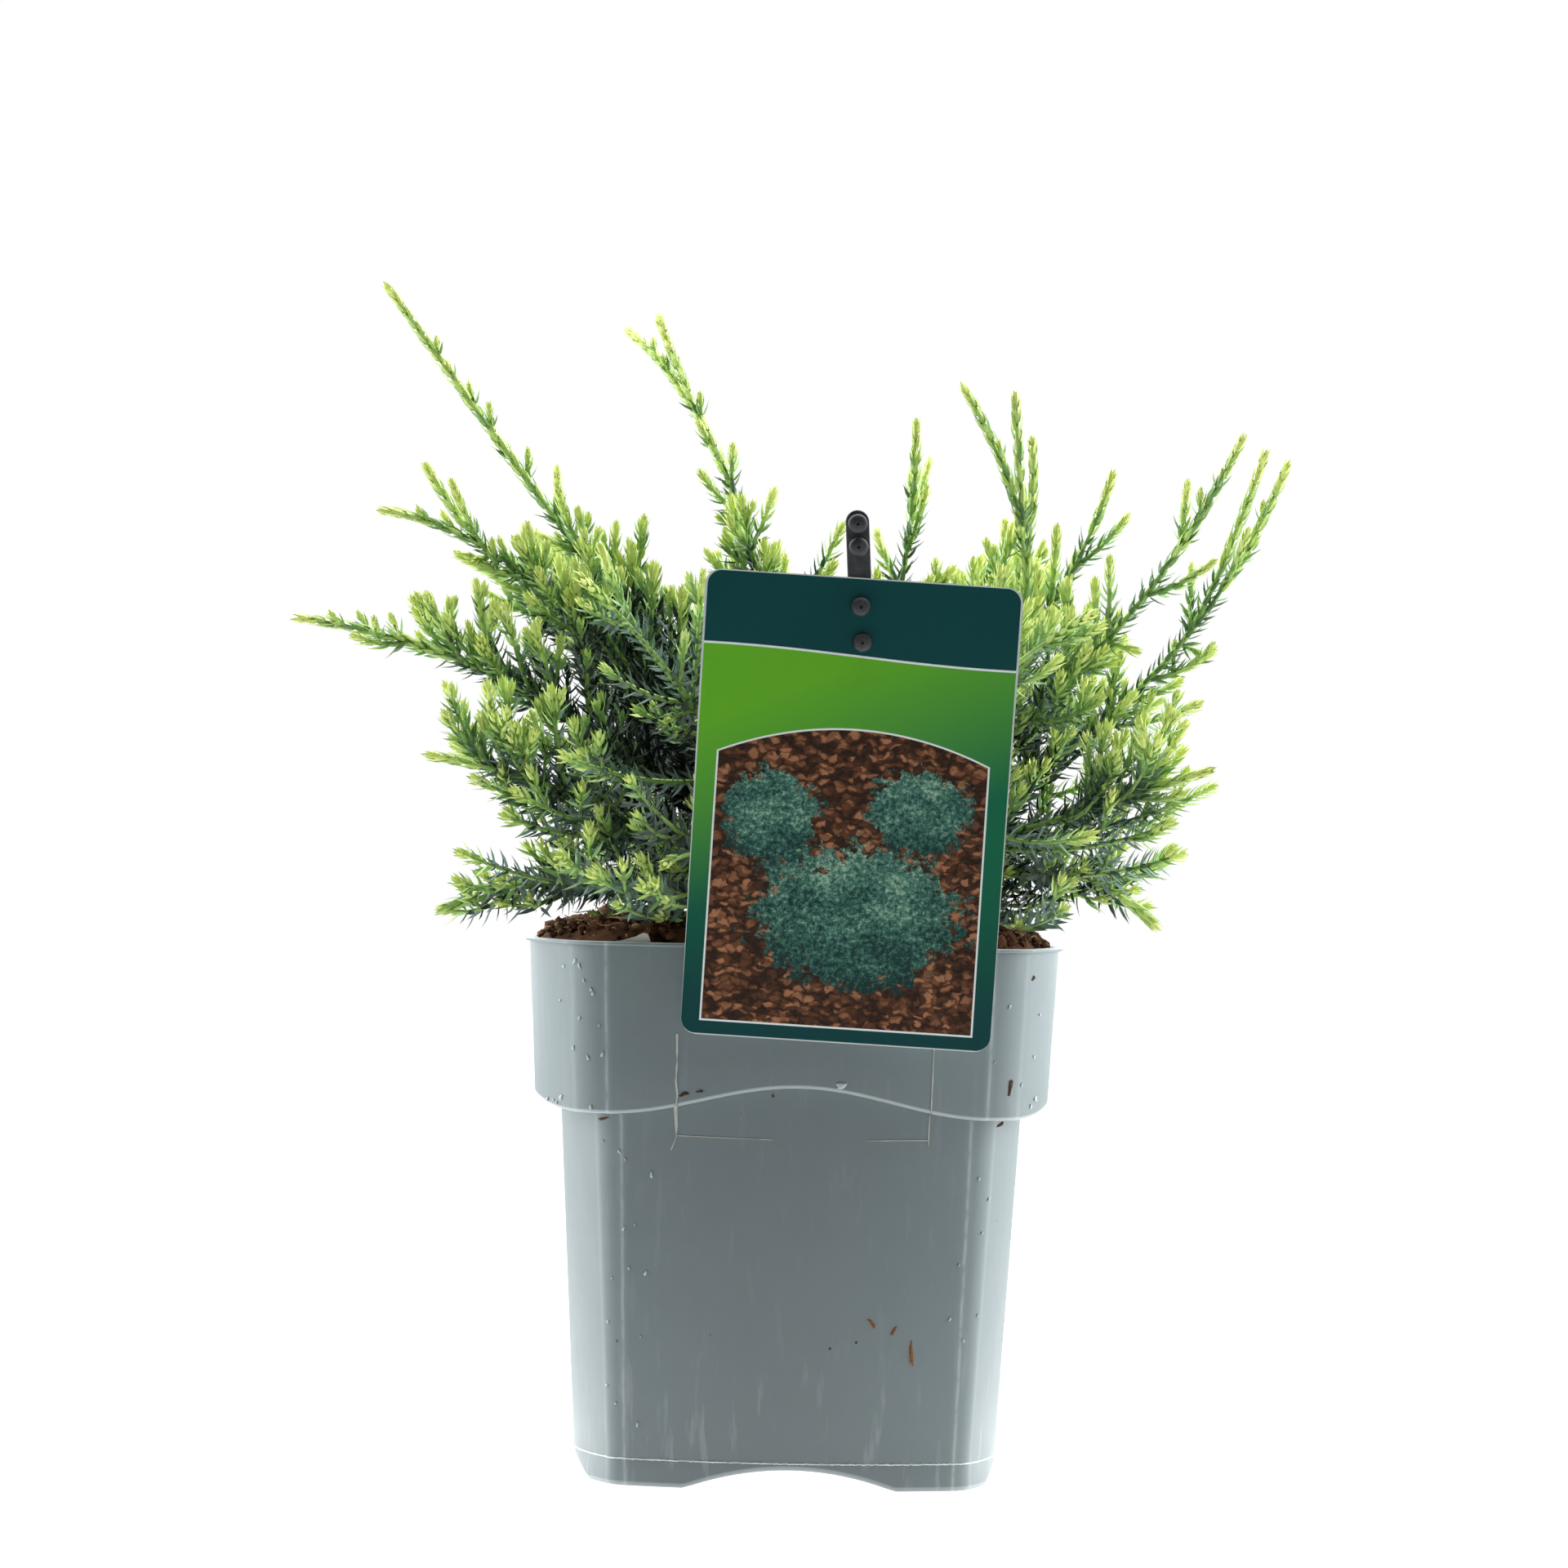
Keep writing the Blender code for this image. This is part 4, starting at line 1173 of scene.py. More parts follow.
def distances(path):
    """How far along a path each of its points lies."""
    steps = np.linalg.norm(np.diff(path, axis=0), axis=1)
    return np.concatenate([[0], np.cumsum(steps)])


def points_at(path, at):
    """Points at distances along a path, on the straight lines between its points."""
    along = distances(path)
    return columns(*(np.interp(at, along, part) for part in path.T))


def cut_path(path, start, end, step=4 * MM):
    """The stretch of a path between two distances along it."""
    start, end = max(start, 0), min(end, distances(path)[-1])
    return points_at(path, np.linspace(start, end, max(int((end - start) / step), 2) + 1))


def path_length(path):
    """The sum of the steps of a path."""
    return float(distances(path)[-1])


def frames(path):
    """A tangent and two cross directions at each point, turning as little as they can."""
    tangents = np.gradient(path, axis=0)
    tangents /= np.linalg.norm(tangents, axis=1)[:, None]
    seed = UP if abs(tangents[0][2]) < 0.8 else np.array((1.0, 0, 0))
    side = np.cross(tangents[0], seed)
    sides, ups = [], []
    for tangent in tangents:
        side = side - tangent * (side @ tangent)
        side = side / np.linalg.norm(side)
        sides.append(side)
        ups.append(np.cross(tangent, side))
    return tangents, np.array(sides), np.array(ups)


def tube_rings(path, radii, sides):
    """Rings of points round a path: its centre plus a circle in its cross directions."""
    _, across, up = frames(path)
    turns = np.arange(sides) * TAU / sides
    circle = across[:, None] * np.cos(turns)[:, None] + up[:, None] * np.sin(turns)[:, None]
    return path[:, None] + circle * np.asarray(radii)[:, None, None]


def near_path(points, path):
    """Distance from each point to the nearest point of a path."""
    a, b = path[:-1], path[1:]
    step = b - a
    offset = points[:, None, :] - a[None]
    size = (step**2).sum(axis=1)
    t = np.clip((offset * step[None]).sum(axis=2) / size[None], 0, 1)
    nearest = a[None] + t[:, :, None] * step[None]
    return np.linalg.norm(points[:, None, :] - nearest, axis=2).min(axis=1)


def mass_start(name):
    """How far along its stem a mass of foliage starts."""
    return STEMS[name][6] * path_length(stem_path(name))


def clear_of_pot(points):
    """True where points lie above the soil and the rim, and behind label and holder."""
    x, y, z = points.T
    over_pot = (np.abs(x) < RIM_SPACE) & (np.abs(y) < RIM_SPACE)
    low = z < np.where(over_pot, GROUND + 2.5 * MM, GROUND - 2 * MM)
    left, right, front = LABEL_SPACE
    return ~low & ~((x > left) & (x < right) & (y < front))


def inside_space(points, name):
    """True if the points of a main shoot keep to its mass's own space, as in the source."""
    own = near_path(points, stem_path(name))
    for other in STEMS:
        path = stem_path(other)
        bough = cut_path(path, 0, mass_start(other))
        if near_path(points, bough).min() < BOUGH_ROOT + SPACE_MARGIN:
            return False
        if other != name and (near_path(points, path) < own + SPACE_MARGIN).any():
            return False
    trunk = trunk_axis(np.array((0, TRUNK_TALL)))
    if near_path(points, trunk).min() < FLARE_RADIUS + SPACE_MARGIN:
        return False
    return clear_of_pot(points).all()


def side_shoot(stem, at, order, share, longest):
    """The path of one side shoot, from the stem's axis.

    It leaves the stem at its place in the golden-angle turn, less widely towards the
    stem's tip, and bends up. Its opening and length vary by a seeded draw.
    """
    draw = np.random.default_rng([SEED, order, int(at / MM)])
    along = distances(stem)
    root = points_at(stem, at)
    tangents, across, up = frames(stem)
    k = min(int(np.searchsorted(along, at)), len(stem) - 1)
    turn = GOLDEN_TURN * order + draw.uniform(*TURN_RANGE)
    out = math.cos(turn) * across[k] + math.sin(turn) * up[k]
    opening = SHOOT_OPEN[0] + (SHOOT_OPEN[1] - SHOOT_OPEN[0]) * share
    opening *= draw.uniform(*OPEN_RANGE)
    way = math.cos(opening) * tangents[k] + math.sin(opening) * out
    length = longest * draw.uniform(*LENGTH_RANGE)
    s = np.linspace(0, 1, 9)[:, None]
    return root + length * (way * s + UP * UPWARD_BEND * s**2)


def crown_place(x, y, z):
    """How far out and how high up a place is, as shares of the crown's reach and rise."""
    return np.hypot(x, y) / CROWN_REACH, (z - GROUND) / CROWN_RISE


class Shoot:
    """One needled shoot: its path, its radius at root and tip, and how it grows.

    Kind is its place in the order of branching, and end how much of it, from its tip
    back, is bare of side shoots with its needles laid close.
    """

    def __init__(self, path, radii, kind, name, order, end=0.0):
        self.path, self.radii, self.kind = path, radii, kind
        self.name, self.order, self.end = name, order, end
        self.length = path_length(path)
        out, up = crown_place(*path[-1])
        self.sun = min(max(SUN_BASE + SUN_UP * up + SUN_OUT * (out - SUN_REACH), 0), 1)
        self.cover = 0.0

    def radius_at(self, at):
        return np.interp(at / self.length, (0, 1), self.radii)


def find_cover(shoots):
    """How far each shoot's tip lies inside the crown, from 0 to 1.

    It is the number of others within a ball that stands outwards and upwards of the
    tip, against the number that shades it in full.
    """
    middle = UP * (GROUND + 10 * MM)
    tips = np.array([shoot.path[-1] for shoot in shoots])
    away = tips - middle
    away /= np.linalg.norm(away, axis=1)[:, None]
    balls = tips + away * COVER_AHEAD
    marks = np.concatenate([shoot.path[2::3] for shoot in shoots])
    # Shoots in the shaded places get more cover: painted shade on their needles.
    shaded = in_ovals(tips, SHADED) * SHADED_COVER
    for shoot, ball, more in zip(shoots, balls, shaded):
        near = np.linalg.norm(marks - ball, axis=1) < COVER_RADIUS
        shoot.cover = min(float(near.sum()) / COVER_FULL + more, 1.0)


def in_model_box(points, spare):
    """True where points lie in the solids' box, widened by a spare distance."""
    low, high = (np.array(corner) for corner in MODEL_BOX)
    return ((points > low - spare) & (points < high + spare)).all(axis=-1)


def finer_shoot(parent, at, order, share, longest, rise, level):
    """A finer shoot by the same rule as a main one, which turns up more as it grows.

    Rise scales that turn. Level draws in the shoot's rise or fall, for one that would
    meet the soil or leave the crown.
    """
    path = side_shoot(parent, at, order, share, longest)
    s = np.linspace(0, 1, len(path))[:, None]
    bent = path + longest * FINER_BEND * rise * UP * s**1.6
    bent = path[:1] + (bent - path[:1]) * (longest / max(path_length(bent), MM))
    bent[:, 2] = path[0][2] + (bent[:, 2] - path[0][2]) * level
    return bent


def in_ovals(points, ovals):
    """For each point, whether it lies in one of the ovals, seen from the front."""
    middle, half = np.array(ovals)[:, :2] * MM, np.array(ovals)[:, 2:] * MM
    across = (points[:, None, ::2] - middle) / half
    return (np.sum(across**2, axis=2) < 1).any(axis=1)


def in_crown(points):
    """True where a shoot lies below the crown's upper outline and clear of its gaps."""
    x, z = np.array(CROWN_TOP).T * MM
    uneven = (value_noise(points * (1, 1, 0), 7 * MM, 31) - 0.15) * TOP_UNEVEN
    low = points[:, 2] < np.interp(points[:, 0], x, z) + uneven
    front = points[:, 1] < HOLLOW_FRONT
    return (low & ~in_ovals(points, SKY) & ~(front & in_ovals(points, HOLLOWS))).all()


def grow_finer(parent, name, order, spacing, longest, run, kind, taper=0.6, rise=1.0):
    """Finer shoots along a run of a parent path, by the golden angle.

    They get shorter towards its tip by the taper, and turn up by the rise.
    """
    grown = []
    start, end = run
    length = path_length(parent)
    count = max(int((end - start) * length / spacing), 0)
    for i in range(count):
        share = (i + 0.5) / count
        at = length * (start + (end - start) * share)
        size = longest * (1 - taper * share)
        for shorter, level in FINER_TRIES:
            closer = share + (BUD_CLOSER if kind == "bud" else 0)
            path = finer_shoot(parent, at, order + i, closer, size * shorter, rise, level)
            too_low = path[-1][2] < path[0][2] - FINER_FALL * size
            fits = clear_of_pot(path[2:]).all() and in_model_box(path, -FINER_INSIDE).all()
            inside = in_crown(path) or kind == "bud"
            if fits and inside and not too_low and path_length(path) > SHORTEST_FINER:
                grown.append(Shoot(path, FINER_RADII[kind], kind, name, order + i))
                break
    return grown


def fork(name, index):
    """The second tip of a stem: it leaves along the stem and turns up by a parabola."""
    at, length, rise = FORKS[name]
    stem = stem_path(name)
    start = at * path_length(stem)
    root, ahead = points_at(stem, np.array((start, start + MM)))
    way = (ahead - root) / np.linalg.norm(ahead - root)
    s = np.linspace(0, 1, 15)[:, None]
    path = root + length * (way * s + UP * rise * s**1.5)
    return Shoot(path, FINER_RADII["main"], "fork", name, FORK_ORDER + index, length)


def sprays(name, index):
    """Shoots that reach their own place: quadratic curves which turn up at the end."""
    stem = stem_path(name)
    found = []
    for k, (parent, at, tip) in enumerate(SPRAYS):
        if parent != name:
            continue
        start, tip = points_at(stem, at * path_length(stem)), np.array(tip) * MM
        long = np.linalg.norm(tip - start)
        sag = SPRAY_SAG if tip[2] > start[2] else LOW_SPRAY_SAG
        path = quadratic(start, (start + tip) / 2 - UP * (sag * long), tip, 17)
        order = SPRAY_ORDER + 40 * index + k
        found.append(Shoot(path, FINER_RADII["main"], "spray", name, order))
    return found


def source_shoots(name, index):
    """The main side shoots of a mass, where the source's rule puts them."""
    whole = stem_path(name)
    length = path_length(whole)
    start = mass_start(name)
    end, taper = LEADER_RUN if "leader" in name else BUSHY_RUN
    found = []
    for i in range(SHOOTS_A_MASS):
        share = (i + 0.5) / SHOOTS_A_MASS
        at = start + (length - start) * (FIRST_SHOOT + (end - FIRST_SHOOT) * share)
        order = SHOOT_ORDERS * index + i
        for size in SHOOT_SIZES:
            longest = STEMS[name][7] * MM * size * (1 - taper * share)
            path = side_shoot(whole, at, order, share, longest)
            if path_length(path) < SHORTEST_SHOOT:
                break
            if inside_space(path[2:], name):
                found.append(Shoot(path, FINER_RADII["main"], "main", name, order))
                break
    return found


def grow_mass(name, index, settings):
    """All shoots of one mass: its stem, the source's shoots, and finer ones on both."""
    whole = stem_path(name)
    length = path_length(whole)
    thin = THIN_ENDS.get(name, THIN_END)
    stem = cut_path(whole, mass_start(name), length)
    radii = (BOUGH_TIP, STEM_TIP)
    grown = [Shoot(stem, radii, "stem", name, index, (1 - thin) * length)]
    main = source_shoots(name, index) + sprays(name, index)
    order = SIDE_ORDER + 100 * index
    growth = LOW_GROWTH if "low" in name else BUSHY_GROWTH
    longer, *shape = LEADER_GROWTH if "leader" in name else growth
    longest = max(STEMS[name][7], LEAST_SIDE_SHOOT) * MM * longer
    run = SIDE_SHOOTS_START * STEMS[name][6], thin
    side = grow_finer(whole, name, order, settings.shoot_spacing, longest, run, "side", *shape)
    run = thin + BUDS_AFTER, BUDS_END
    buds = grow_finer(whole, name, order + 60, BUD_GAP, BUD_LENGTH, run, "bud")
    grown.extend(main + side + buds)
    if name in FORKS:
        grown.append(fork(name, index))
    for k, parent in enumerate(main + side):
        if parent.length > TWIG_PARENT:
            order = TWIG_ORDER + 1000 * index + 20 * k
            reach = TWIG_LEAST + TWIG_SHARE * parent.length
            step = settings.twig_spacing * (1 + SHADE_SPARSER * (1 - parent.sun))
            grown.extend(grow_finer(parent.path, name, order, step, reach, TWIG_REACH, "twig"))
    return grown


def fade(value, low, high):
    """A smooth step from 0 at low to 1 at high."""
    share = np.clip((value - low) / (high - low), 0, 1)
    return share * share * (3 - 2 * share)


def whorl_places(shoot, new):
    """Distances from the shoot's tip of its whorls, closer together near the tip.

    The gap between whorls is a function of that distance. Whorls stand where the
    integral of its inverse passes whole numbers.
    """
    left = np.linspace(0, shoot.length - 0.5 * MM, 200)
    tip_gap = LEADER_TIP_GAP if shoot.end else TIP_GAP
    gap = WHORL_GAP + (tip_gap - WHORL_GAP) * np.exp(-left / (0.4 * new))
    gap = gap + (LEADER_GAP - WHORL_GAP) * fade(left, 8 * MM, 14 * MM) * (left < shoot.end)
    count = np.concatenate([[0], np.cumsum(np.diff(left) / gap[1:])])
    return np.interp(np.arange(0.3, count[-1], 1), count, left)


def shoot_needles(shoot, settings):
    """Needles of a shoot: root, way, out, length, width and age of each, as arrays.

    Whorls of three stand along the shoot, each turned by a sixth of a turn against the
    last. New growth has its needles laid forwards in a spear, and behind it they spread.
    Age is the distance from the tip in units of the new growth's length.
    """
    draw = np.random.default_rng([SEED, 7, shoot.order, int(shoot.length / (0.01 * MM))])
    new = NEW_LEAST + NEW_SUN * shoot.sun * (1 - NEW_COVERED * shoot.cover)
    new = new * MM * draw.uniform(*NEW_RANGE)
    new = max(min(new, 0.75 * shoot.length), 3.5 * MM)
    left = whorl_places(shoot, new)
    at = shoot.length - left
    order = np.argsort(at)
    left, at = left[order], at[order]
    centres = points_at(shoot.path, at)
    tangents, across, up = frames(centres)
    count = len(at)
    close = 1 - fade(left, 0.55 * new, 1.25 * new)
    spread = SPREAD_OLD + (SPREAD_SUN - SPREAD_OLD) * shoot.sun
    spread_new = SPREAD_NEW + (SPREAD_NEW_SUN - SPREAD_NEW) * shoot.sun
    opening = spread + (spread_new - spread) * close
    opening = np.where(left < shoot.end, SPREAD_LEADER, opening)
    opening = opening * (0.45 + 0.55 * fade(left, -1 * MM, 4 * MM))
    turns = np.arange(count)[:, None] * TAU / 6 + np.arange(3) * TAU / 3
    turns = turns + draw.normal(0, NEEDLE_TURNS, (count, 3)) + draw.uniform(0, TAU)
    opening = opening[:, None] * draw.uniform(*NEEDLE_OPENINGS, (count, 3))
    radial = across[:, None] * np.cos(turns)[..., None] + up[:, None] * np.sin(turns)[..., None]
    cosine, sine = np.cos(opening)[..., None], np.sin(opening)[..., None]
    way = tangents[:, None] * cosine + radial * sine
    out = radial * cosine - tangents[:, None] * sine
    radius = shoot.radius_at(at)[:, None, None]
    root = centres[:, None] + radial * radius * 0.6
    size = draw.uniform(*NEEDLE_LENGTHS, (count, 3))
    short = 1 - 0.4 * (1 - fade(left, 0, 4 * MM)) - 0.1 * close
    length = settings.needle_length * (1 - SUN_SHORTER * shoot.sun) * size * short[:, None]
    width = settings.needle_width * draw.uniform(*NEEDLE_WIDTHS, (count, 3))
    on_end = (left < shoot.end)[:, None]
    length, width = length * (1 + END_LONGER * on_end), width * (1 + END_WIDER * on_end)
    age = np.repeat((left / new)[:, None], 3, axis=1) + COVER_AGE * shoot.cover**2
    age = np.where(on_end, np.minimum(age, LEADER_AGE), age)
    vectors = [rows.reshape(-1, 3) for rows in (root, way, out)]
    return vectors + [numbers.ravel() for numbers in (length, width, age)]


def needle_shells(root, way, out, length, width):
    """Closed six-sided spindles, one for each needle.

    Each has its root point, two triangles across it, whose third corner is the keel on
    the outer face, and its point. Its middle arcs outwards, so that its tip turns in.
    The last value tells the faces that look inwards.
    """
    side = np.cross(way, out)
    long, wide = length[:, None], width[:, None] / 2
    rows = [root]
    for share, breadth, keel in NEEDLE_ROWS:
        middle = root + way * long * share + out * long * NEEDLE_ARC * share * (1 - share)
        rows.append(middle - side * wide * breadth)
        rows.append(middle + out * wide * keel)
        rows.append(middle + side * wide * breadth)
    rows.append(root + way * long)
    points = np.stack(rows, axis=1)
    start = np.arange(len(root))[:, None, None] * 8
    three = np.array([(0, 2, 1), (0, 3, 2), (4, 5, 7), (5, 6, 7), (0, 1, 3), (6, 4, 7)])
    four = np.array([(1, 2, 5, 4), (2, 3, 6, 5), (3, 1, 4, 6)])
    faces = (three[None] + start).reshape(-1, 3), (four[None] + start).reshape(-1, 4)
    inner = np.tile((0, 0, 0, 0, 1, 1), len(root)), np.tile((0, 0, 1), len(root))
    return points, faces, np.concatenate(inner)


def tint_numbers(age, roots, cover, shoot_noise, draw):
    """Which tint each needle takes: by its age in the new growth, then by its light.

    Old needles are painted greener high up and further out, where light falls, keep their
    own blue-green below, and are painted dark inside as shade, darker still when covered.
    """
    fresh, blue, grey, shade = (TINTS.index(k) for k in ("fresh", "blue", "grey", "shade"))
    age = age + shoot_noise + draw.normal(0, AGE_NOISE, len(age))
    new = np.searchsorted(NEW_GROWTH, age)
    out, up = crown_place(*roots.T)
    light = LIGHT_UP * up + LIGHT_OUT * out + draw.normal(0, LIGHT_NOISE, len(age))
    light = light + 0.6 * shoot_noise + LIGHT_BASE - LIGHT_COVERED * cover
    old = fresh + np.searchsorted(-np.array(OLD_LIGHT), -light)
    bloom = (old == blue) & (draw.uniform(0, 1, len(age)) < BLOOM_SHARE)
    old = np.where(old == grey, shade, old)
    old = np.where(bloom, grey, old)
    return np.where(new < len(NEW_GROWTH), new, old)


def side_of(name):
    """Which third of the plant a mass belongs to."""
    if "left" in name:
        return "left"
    return "right" if "right" in name else "middle"


def bark_material(settings):
    """Flaking red-brown bark: fibrous streaks with grey and orange patches."""
    made, tree, shader = new_material("bark", settings.bark_colour, 0.9)
    _, (x, y, z) = object_place(tree)
    tone, _ = mottled(tree, settings.bark_colour, (0.30, 0.20, 0.14), 160.0, 0.8)
    streak = noise_field(tree, joined(tree, x, y, z * 0.25), 700.0, 4.0)
    colour = mixed(tree, streak.above(0.5, 0.2) * 0.6, tone, (0.05, 0.026, 0.016))
    finish_surface(tree, shader, colour, streak, 0.5 * MM)
    return made


def bark_shape():
    """The trunk and boughs with the relief of their bark.

    The trunk is a grid of turn and height: its taper, root flare and buttresses, times
    ridges that wander up it. A bough is a tapering tube whose radius varies likewise.
    """
    shape = Shape()
    heights = np.concatenate([np.linspace(0, TRUNK_TALL, 60), [TRUNK_TALL + 0.1 * MM]])
    turns = np.linspace(0, TAU, 72, endpoint=False)
    height, turn = np.meshgrid(heights, turns, indexing="ij")
    flare = np.maximum(0.0, 1 - height / FLARE_TALL)
    radius = TRUNK_RADIUS + (TRUNK_TOP_RADIUS - TRUNK_RADIUS) * height / TRUNK_TALL
    radius = radius + (FLARE_RADIUS - TRUNK_RADIUS) * flare**2
    radius = radius * (1 + TRUNK_BUTTRESS * np.sin(3 * turn) * flare)
    spots = columns(np.cos(turn) * 3, np.sin(turn) * 3, height / (7 * MM))
    ridges = layered_noise(spots.reshape(-1, 3), 0.55, 11, 3).reshape(height.shape)
    radius = radius * (0.95 + 0.07 * ridges)
    radius[-1] *= 0.7
    centre = trunk_axis(heights)[:, None]
    circle = columns(np.cos(turn), np.sin(turn), 0)
    shape.shell(centre + circle * radius[..., None])
    for number, name in enumerate(STEMS):
        whole = stem_path(name)
        path = cut_path(whole, 0, mass_start(name) + 2 * MM, 1.2 * MM)
        radii = np.linspace(BOUGH_ROOT, BOUGH_TIP, len(path))
        rings = tube_rings(path, radii, 12)
        relief = layered_noise(rings, 2.2 * MM, 40 + number, 2).reshape(rings.shape[:2])
        rings = path[:, None] + (rings - path[:, None]) * (1 + 0.16 * relief[..., None])
        shape.shell(rings)
    return shape


# The label and its holder.


def stake_frame():
    """The stake's own frame: its foot at the lowest stud, its front face towards -Y."""
    lean = Matrix.Rotation(STAKE_LEAN, 4, "X") @ Matrix.Rotation(STAKE_SIDE_LEAN, 4, "Y")
    return Matrix.Translation(STAKE_FOOT) @ lean


def holder_shape():
    """The flat stake with rounded edges, and its four studs.

    The stake's outline is a long bar with a round top and a point, in rings across its
    thickness that draw in at both faces. A stud is a turned profile: a cone with a
    rounded end and a small round hole in it.
    """
    shape = Shape()
    half = STAKE_WIDTH / 2
    top = STAKE_ABOVE - half
    turns = np.linspace(0, math.pi, 25)
    outline = [(half * math.cos(t), top + half * math.sin(t)) for t in turns]
    taper = STAKE_TIP - STAKE_BELOW
    outline = np.array([*outline, (-half, taper), (0, -STAKE_BELOW), (half, taper)])
    rings = [(y * STAKE_ROUND, pull * STAKE_ROUND) for y, pull in ((0, 1), (0.3, 0.3), (1, 0))]
    rings += [(STAKE_THICK - y, pull) for y, pull in rings[::-1]]
    stacked = []
    for y, pull in rings:
        x = outline[:, 0] * (1 - pull / half)
        z = outline[:, 1] - np.sign(outline[:, 1]) * pull * (np.abs(outline[:, 1]) > top)
        stacked.append(columns(x, y, z))
    shape.shell(stacked, stake_frame())
    around = np.linspace(0, TAU, 24, endpoint=False)
    hole = 0.5 * MM
    profile = (
        (STUD_RADIUS + 0.5 * MM, -0.2 * MM),
        (STUD_RADIUS, 0.5 * MM),
        (STUD_RADIUS - 0.2 * MM, STUD_OUT - 2.1 * MM),
        (STUD_HEAD, STUD_OUT - 1.8 * MM),
        (STUD_HEAD - 0.1 * MM, STUD_OUT - 1.0 * MM),
        (STUD_HEAD - 0.6 * MM, STUD_OUT - 0.4 * MM),
        (STUD_TIP_RADIUS + 0.3 * MM, STUD_OUT - 0.05 * MM),
        (hole, STUD_OUT),
        (hole * 0.8, STUD_OUT - 1.0 * MM),
    )
    for height in STUD_HEIGHTS:
        rows = []
        for r, out in profile:
            rows.append(columns(r * np.cos(around), -out, height + r * np.sin(around)))
        shape.shell(rows, stake_frame())
    return shape


def holder_material(settings):
    """Black moulded plastic with a dusting of soil."""
    made, tree, shader = new_material("holder_plastic", settings.holder_colour, 0.5)
    vector, _ = object_place(tree)
    tone, _ = mottled(tree, settings.holder_colour, (0.060, 0.060, 0.066), 320.0, 0.5)
    finish_surface(tree, shader, tone, noise_field(tree, vector, 900.0, 3.0), 0.08 * MM)
    return made


def round_box(across, up, half_wide, half_tall, corner):
    """Distance outside a rectangle with round corners, below 0 inside it."""
    x = across.absolute() - half_wide + corner
    y = up.absolute() - half_tall + corner
    over_x, over_y = (part.math("MAXIMUM", 0.0).math("POWER", 2.0) for part in (x, y))
    return (over_x + over_y).math("SQRT") + x.math("MAXIMUM", y).math("MINIMUM", 0.0) - corner


def ramp(tree, share, *stops):
    """A colour from a row of (place, colour) stops, two at least."""
    node = tree.nodes.new("ShaderNodeValToRGB")
    marks = node.color_ramp.elements
    for _ in stops[2:]:
        marks.new(1)
    for mark, (place, colour) in zip(marks, stops):
        mark.position, mark.color = place, (*colour, 1)
    feed(tree, share, node.inputs["Fac"])
    return node.outputs["Color"]


def bark_print(tree, across, up):
    """Printed bark mulch: cells drawn out and bent by noise, each with its own shade."""
    plane = joined(tree, across, up, 0.0)
    bend = noise_field(tree, plane, 300.0, 3.0) * (4.0 * MM)
    turn = noise_field(tree, plane, 170.0, 2.0) * (9.0 * MM)
    bent = joined(tree, across * 0.75 + bend, up * 1.35 + turn, 0.0)
    cells = cell_node(tree, bent, 420.0)
    own = parts_of(tree, cells.outputs["Color"])[0]
    hollow = Field(tree, cells.outputs["Distance"]).below(0.55, 0.5)
    grain = noise_field(tree, bent, 900.0, 4.0, 0.7)
    share = own * hollow * 0.75 + grain * 0.5 - 0.1
    tones = ((0.12, (0.018, 0.009, 0.006)), (0.45, (0.115, 0.045, 0.020)))
    return ramp(tree, share, *tones, (0.85, (0.36, 0.16, 0.080)))


def shrub_print(tree, across, up, middle, radii, seed):
    """The share of a printed shrub and its leaves: a mound with a spiky outline.

    Its sprays are fine noise, brightest on the upper side of its coarser lobes.
    """
    a = (across - middle[0]) / radii[0]
    b = (up - middle[1]) / radii[1]
    far = (a * a + b * b).math("SQRT")
    plane = joined(tree, across, up, seed)
    spikes = noise_field(tree, plane, 330.0, 6.0, 0.75)
    lobes = noise_field(tree, plane, 85.0, 2.0)
    inside = (far + (spikes - 0.5) * 1.5 + (lobes - 0.5) * 0.9).below(1.0, 0.05)
    fine = noise_field(tree, plane, 620.0, 6.0, 0.8)
    light = (fine - 0.5) * 2.6 + lobes * 0.9 + b * 0.16 - far * 0.1
    tones = ((0.15, (0.008, 0.034, 0.032)), (0.5, (0.055, 0.165, 0.125)))
    return inside, ramp(tree, light, *tones, (0.85, (0.33, 0.50, 0.36)))


